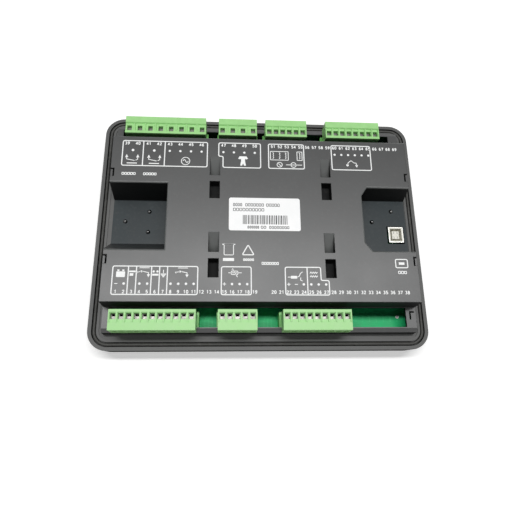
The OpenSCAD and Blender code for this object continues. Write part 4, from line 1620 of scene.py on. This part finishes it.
@dataclass(frozen=True)
class Softbox:
    """Flat soft lamp that faces the middle of the table.

    Attributes:
        name: name of the lamp.
        place: its middle in metres.
        size: its width and depth in metres.
        power: its power in watts.
    """

    name: str
    place: tuple[float, float, float]
    size: Point
    power: float

    def hang(self) -> None:
        """Hang the lamp over the table."""
        lamp = bpy.data.lights.new(self.name, "AREA")
        lamp.shape = "RECTANGLE"
        lamp.size, lamp.size_y = self.size
        lamp.energy = self.power
        holder = bpy.data.objects.new(self.name, lamp)
        holder.location = self.place
        holder.rotation_euler = Vector(self.place).to_track_quat("Z", "Y").to_euler()
        bpy.context.collection.objects.link(holder)


@dataclass
class Studio:
    """White table, soft lamps and the camera.

    Attributes:
        floor_size: width of the table in metres.
        floor_z: height of the table in metres.
        floor_colour: colour of the table, linear.
        floor_roughness: roughness of the table.
        camera_place: the camera's position in metres.
        camera_turn: the camera's turn about X, Y and Z in degrees.
        lens: focal length in millimetres.
        sensor: width of the camera's sensor in millimetres.
        lamps: the lamp above the far side and the weaker one behind the camera.
        ambient: strength of the light from all round.
        lift: how much the table's own white is raised for the camera.
    """

    floor_size: float = 6.0
    floor_z: float = -0.0002
    floor_colour: tuple[float, float, float, float] = (0.76, 0.76, 0.755, 1.0)
    floor_roughness: float = 0.9
    camera_place: tuple[float, float, float] = (-0.0235, -0.1247, 0.3434)
    camera_turn: tuple[float, float, float] = (17.047, -3.807, -0.672)
    lens: float = 32.13
    sensor: float = 36.0
    lamps: tuple[Softbox, ...] = (
        Softbox("key_light", (0.0, 0.18, 1.2), (1.3, 0.16), 13.4),
        Softbox("fill_light", (0.0, -0.9, 0.75), (1.4, 0.3), 1.8),
    )
    ambient: float = 0.06
    lift: float = 0.47

    def build(self) -> None:
        """Set up the table, the light and the camera."""
        bpy.context.scene.view_settings.view_transform = "Standard"
        self._world()
        self._floor()
        for lamp in self.lamps:
            lamp.hang()
        self._camera()

    @staticmethod
    def _seen(work: Wiring) -> Socket:
        """Add a switch that is 1 for what the camera sees, also in reflections and through glass.

        Args:
            work: node tree to add to.

        Returns:
            The switch's output.
        """
        rays = work.add("LightPath", {}).outputs
        mirrored = work.math("MAXIMUM", rays["Is Camera Ray"], rays["Is Glossy Ray"])
        return work.math("MAXIMUM", mirrored, rays["Is Transmission Ray"])

    def _world(self) -> None:
        """Light the scene softly from all round, and show white behind it."""
        world = bpy.data.worlds.new("studio_world")
        world.use_nodes = True
        bpy.context.scene.world = world
        work = Wiring(world.node_tree)
        level = work.add("MapRange", {"Value": self._seen(work), "To Min": self.ambient, "To Max": 1.0})
        work.feed(work.tree.nodes["Background"], {"Color": WHITE, "Strength": level.outputs["Result"]})

    def _floor(self) -> None:
        """Lay the table."""
        half = self.floor_size / 2
        mesh = bpy.data.meshes.new("studio_table")
        corners = [(x, y, self.floor_z) for x, y in rectangle(-half, -half, half, half)]
        mesh.from_pydata(corners, [], [(0, 1, 2, 3)])
        table = bpy.data.objects.new("studio_table", mesh)
        bpy.context.collection.objects.link(table)
        paint = bpy.data.materials.new("studio_white")
        paint.use_nodes = True
        work = Wiring(paint.node_tree)
        work.feed(work.tree.nodes["Principled BSDF"], {
            "Base Color": self.floor_colour,
            "Roughness": self.floor_roughness,
            "Specular IOR Level": 0.0,
            "Emission Color": WHITE,
            "Emission Strength": work.math("MULTIPLY", self._seen(work), self.lift),
        })
        mesh.materials.append(paint)

    def _camera(self) -> None:
        """Stand the camera at the photograph's angle."""
        lens = bpy.data.cameras.new("photo_camera")
        lens.sensor_width = self.sensor
        lens.lens = self.lens
        lens.clip_start = 0.01
        camera = bpy.data.objects.new("photo_camera", lens)
        turn = Euler([math.radians(angle) for angle in self.camera_turn], "XYZ")
        camera.matrix_world = Matrix.Translation(self.camera_place) @ turn.to_matrix().to_4x4()
        bpy.context.collection.objects.link(camera)
        bpy.context.scene.camera = camera


def main() -> None:
    """Build and dress every sub-assembly, logging each one as it is done."""
    logging.basicConfig(level=logging.INFO, format="%(message)s")
    shop = PaintShop()
    Studio().build()
    parts = (Enclosure(), Terminals(), Boards(), DataSocket(), FrontPanel(), PrintedLegend(), RatingLabel())
    for part in parts:
        part.build(shop)
        LOG.info("%s done", type(part).__name__)


if __name__ == "__main__":
    main()
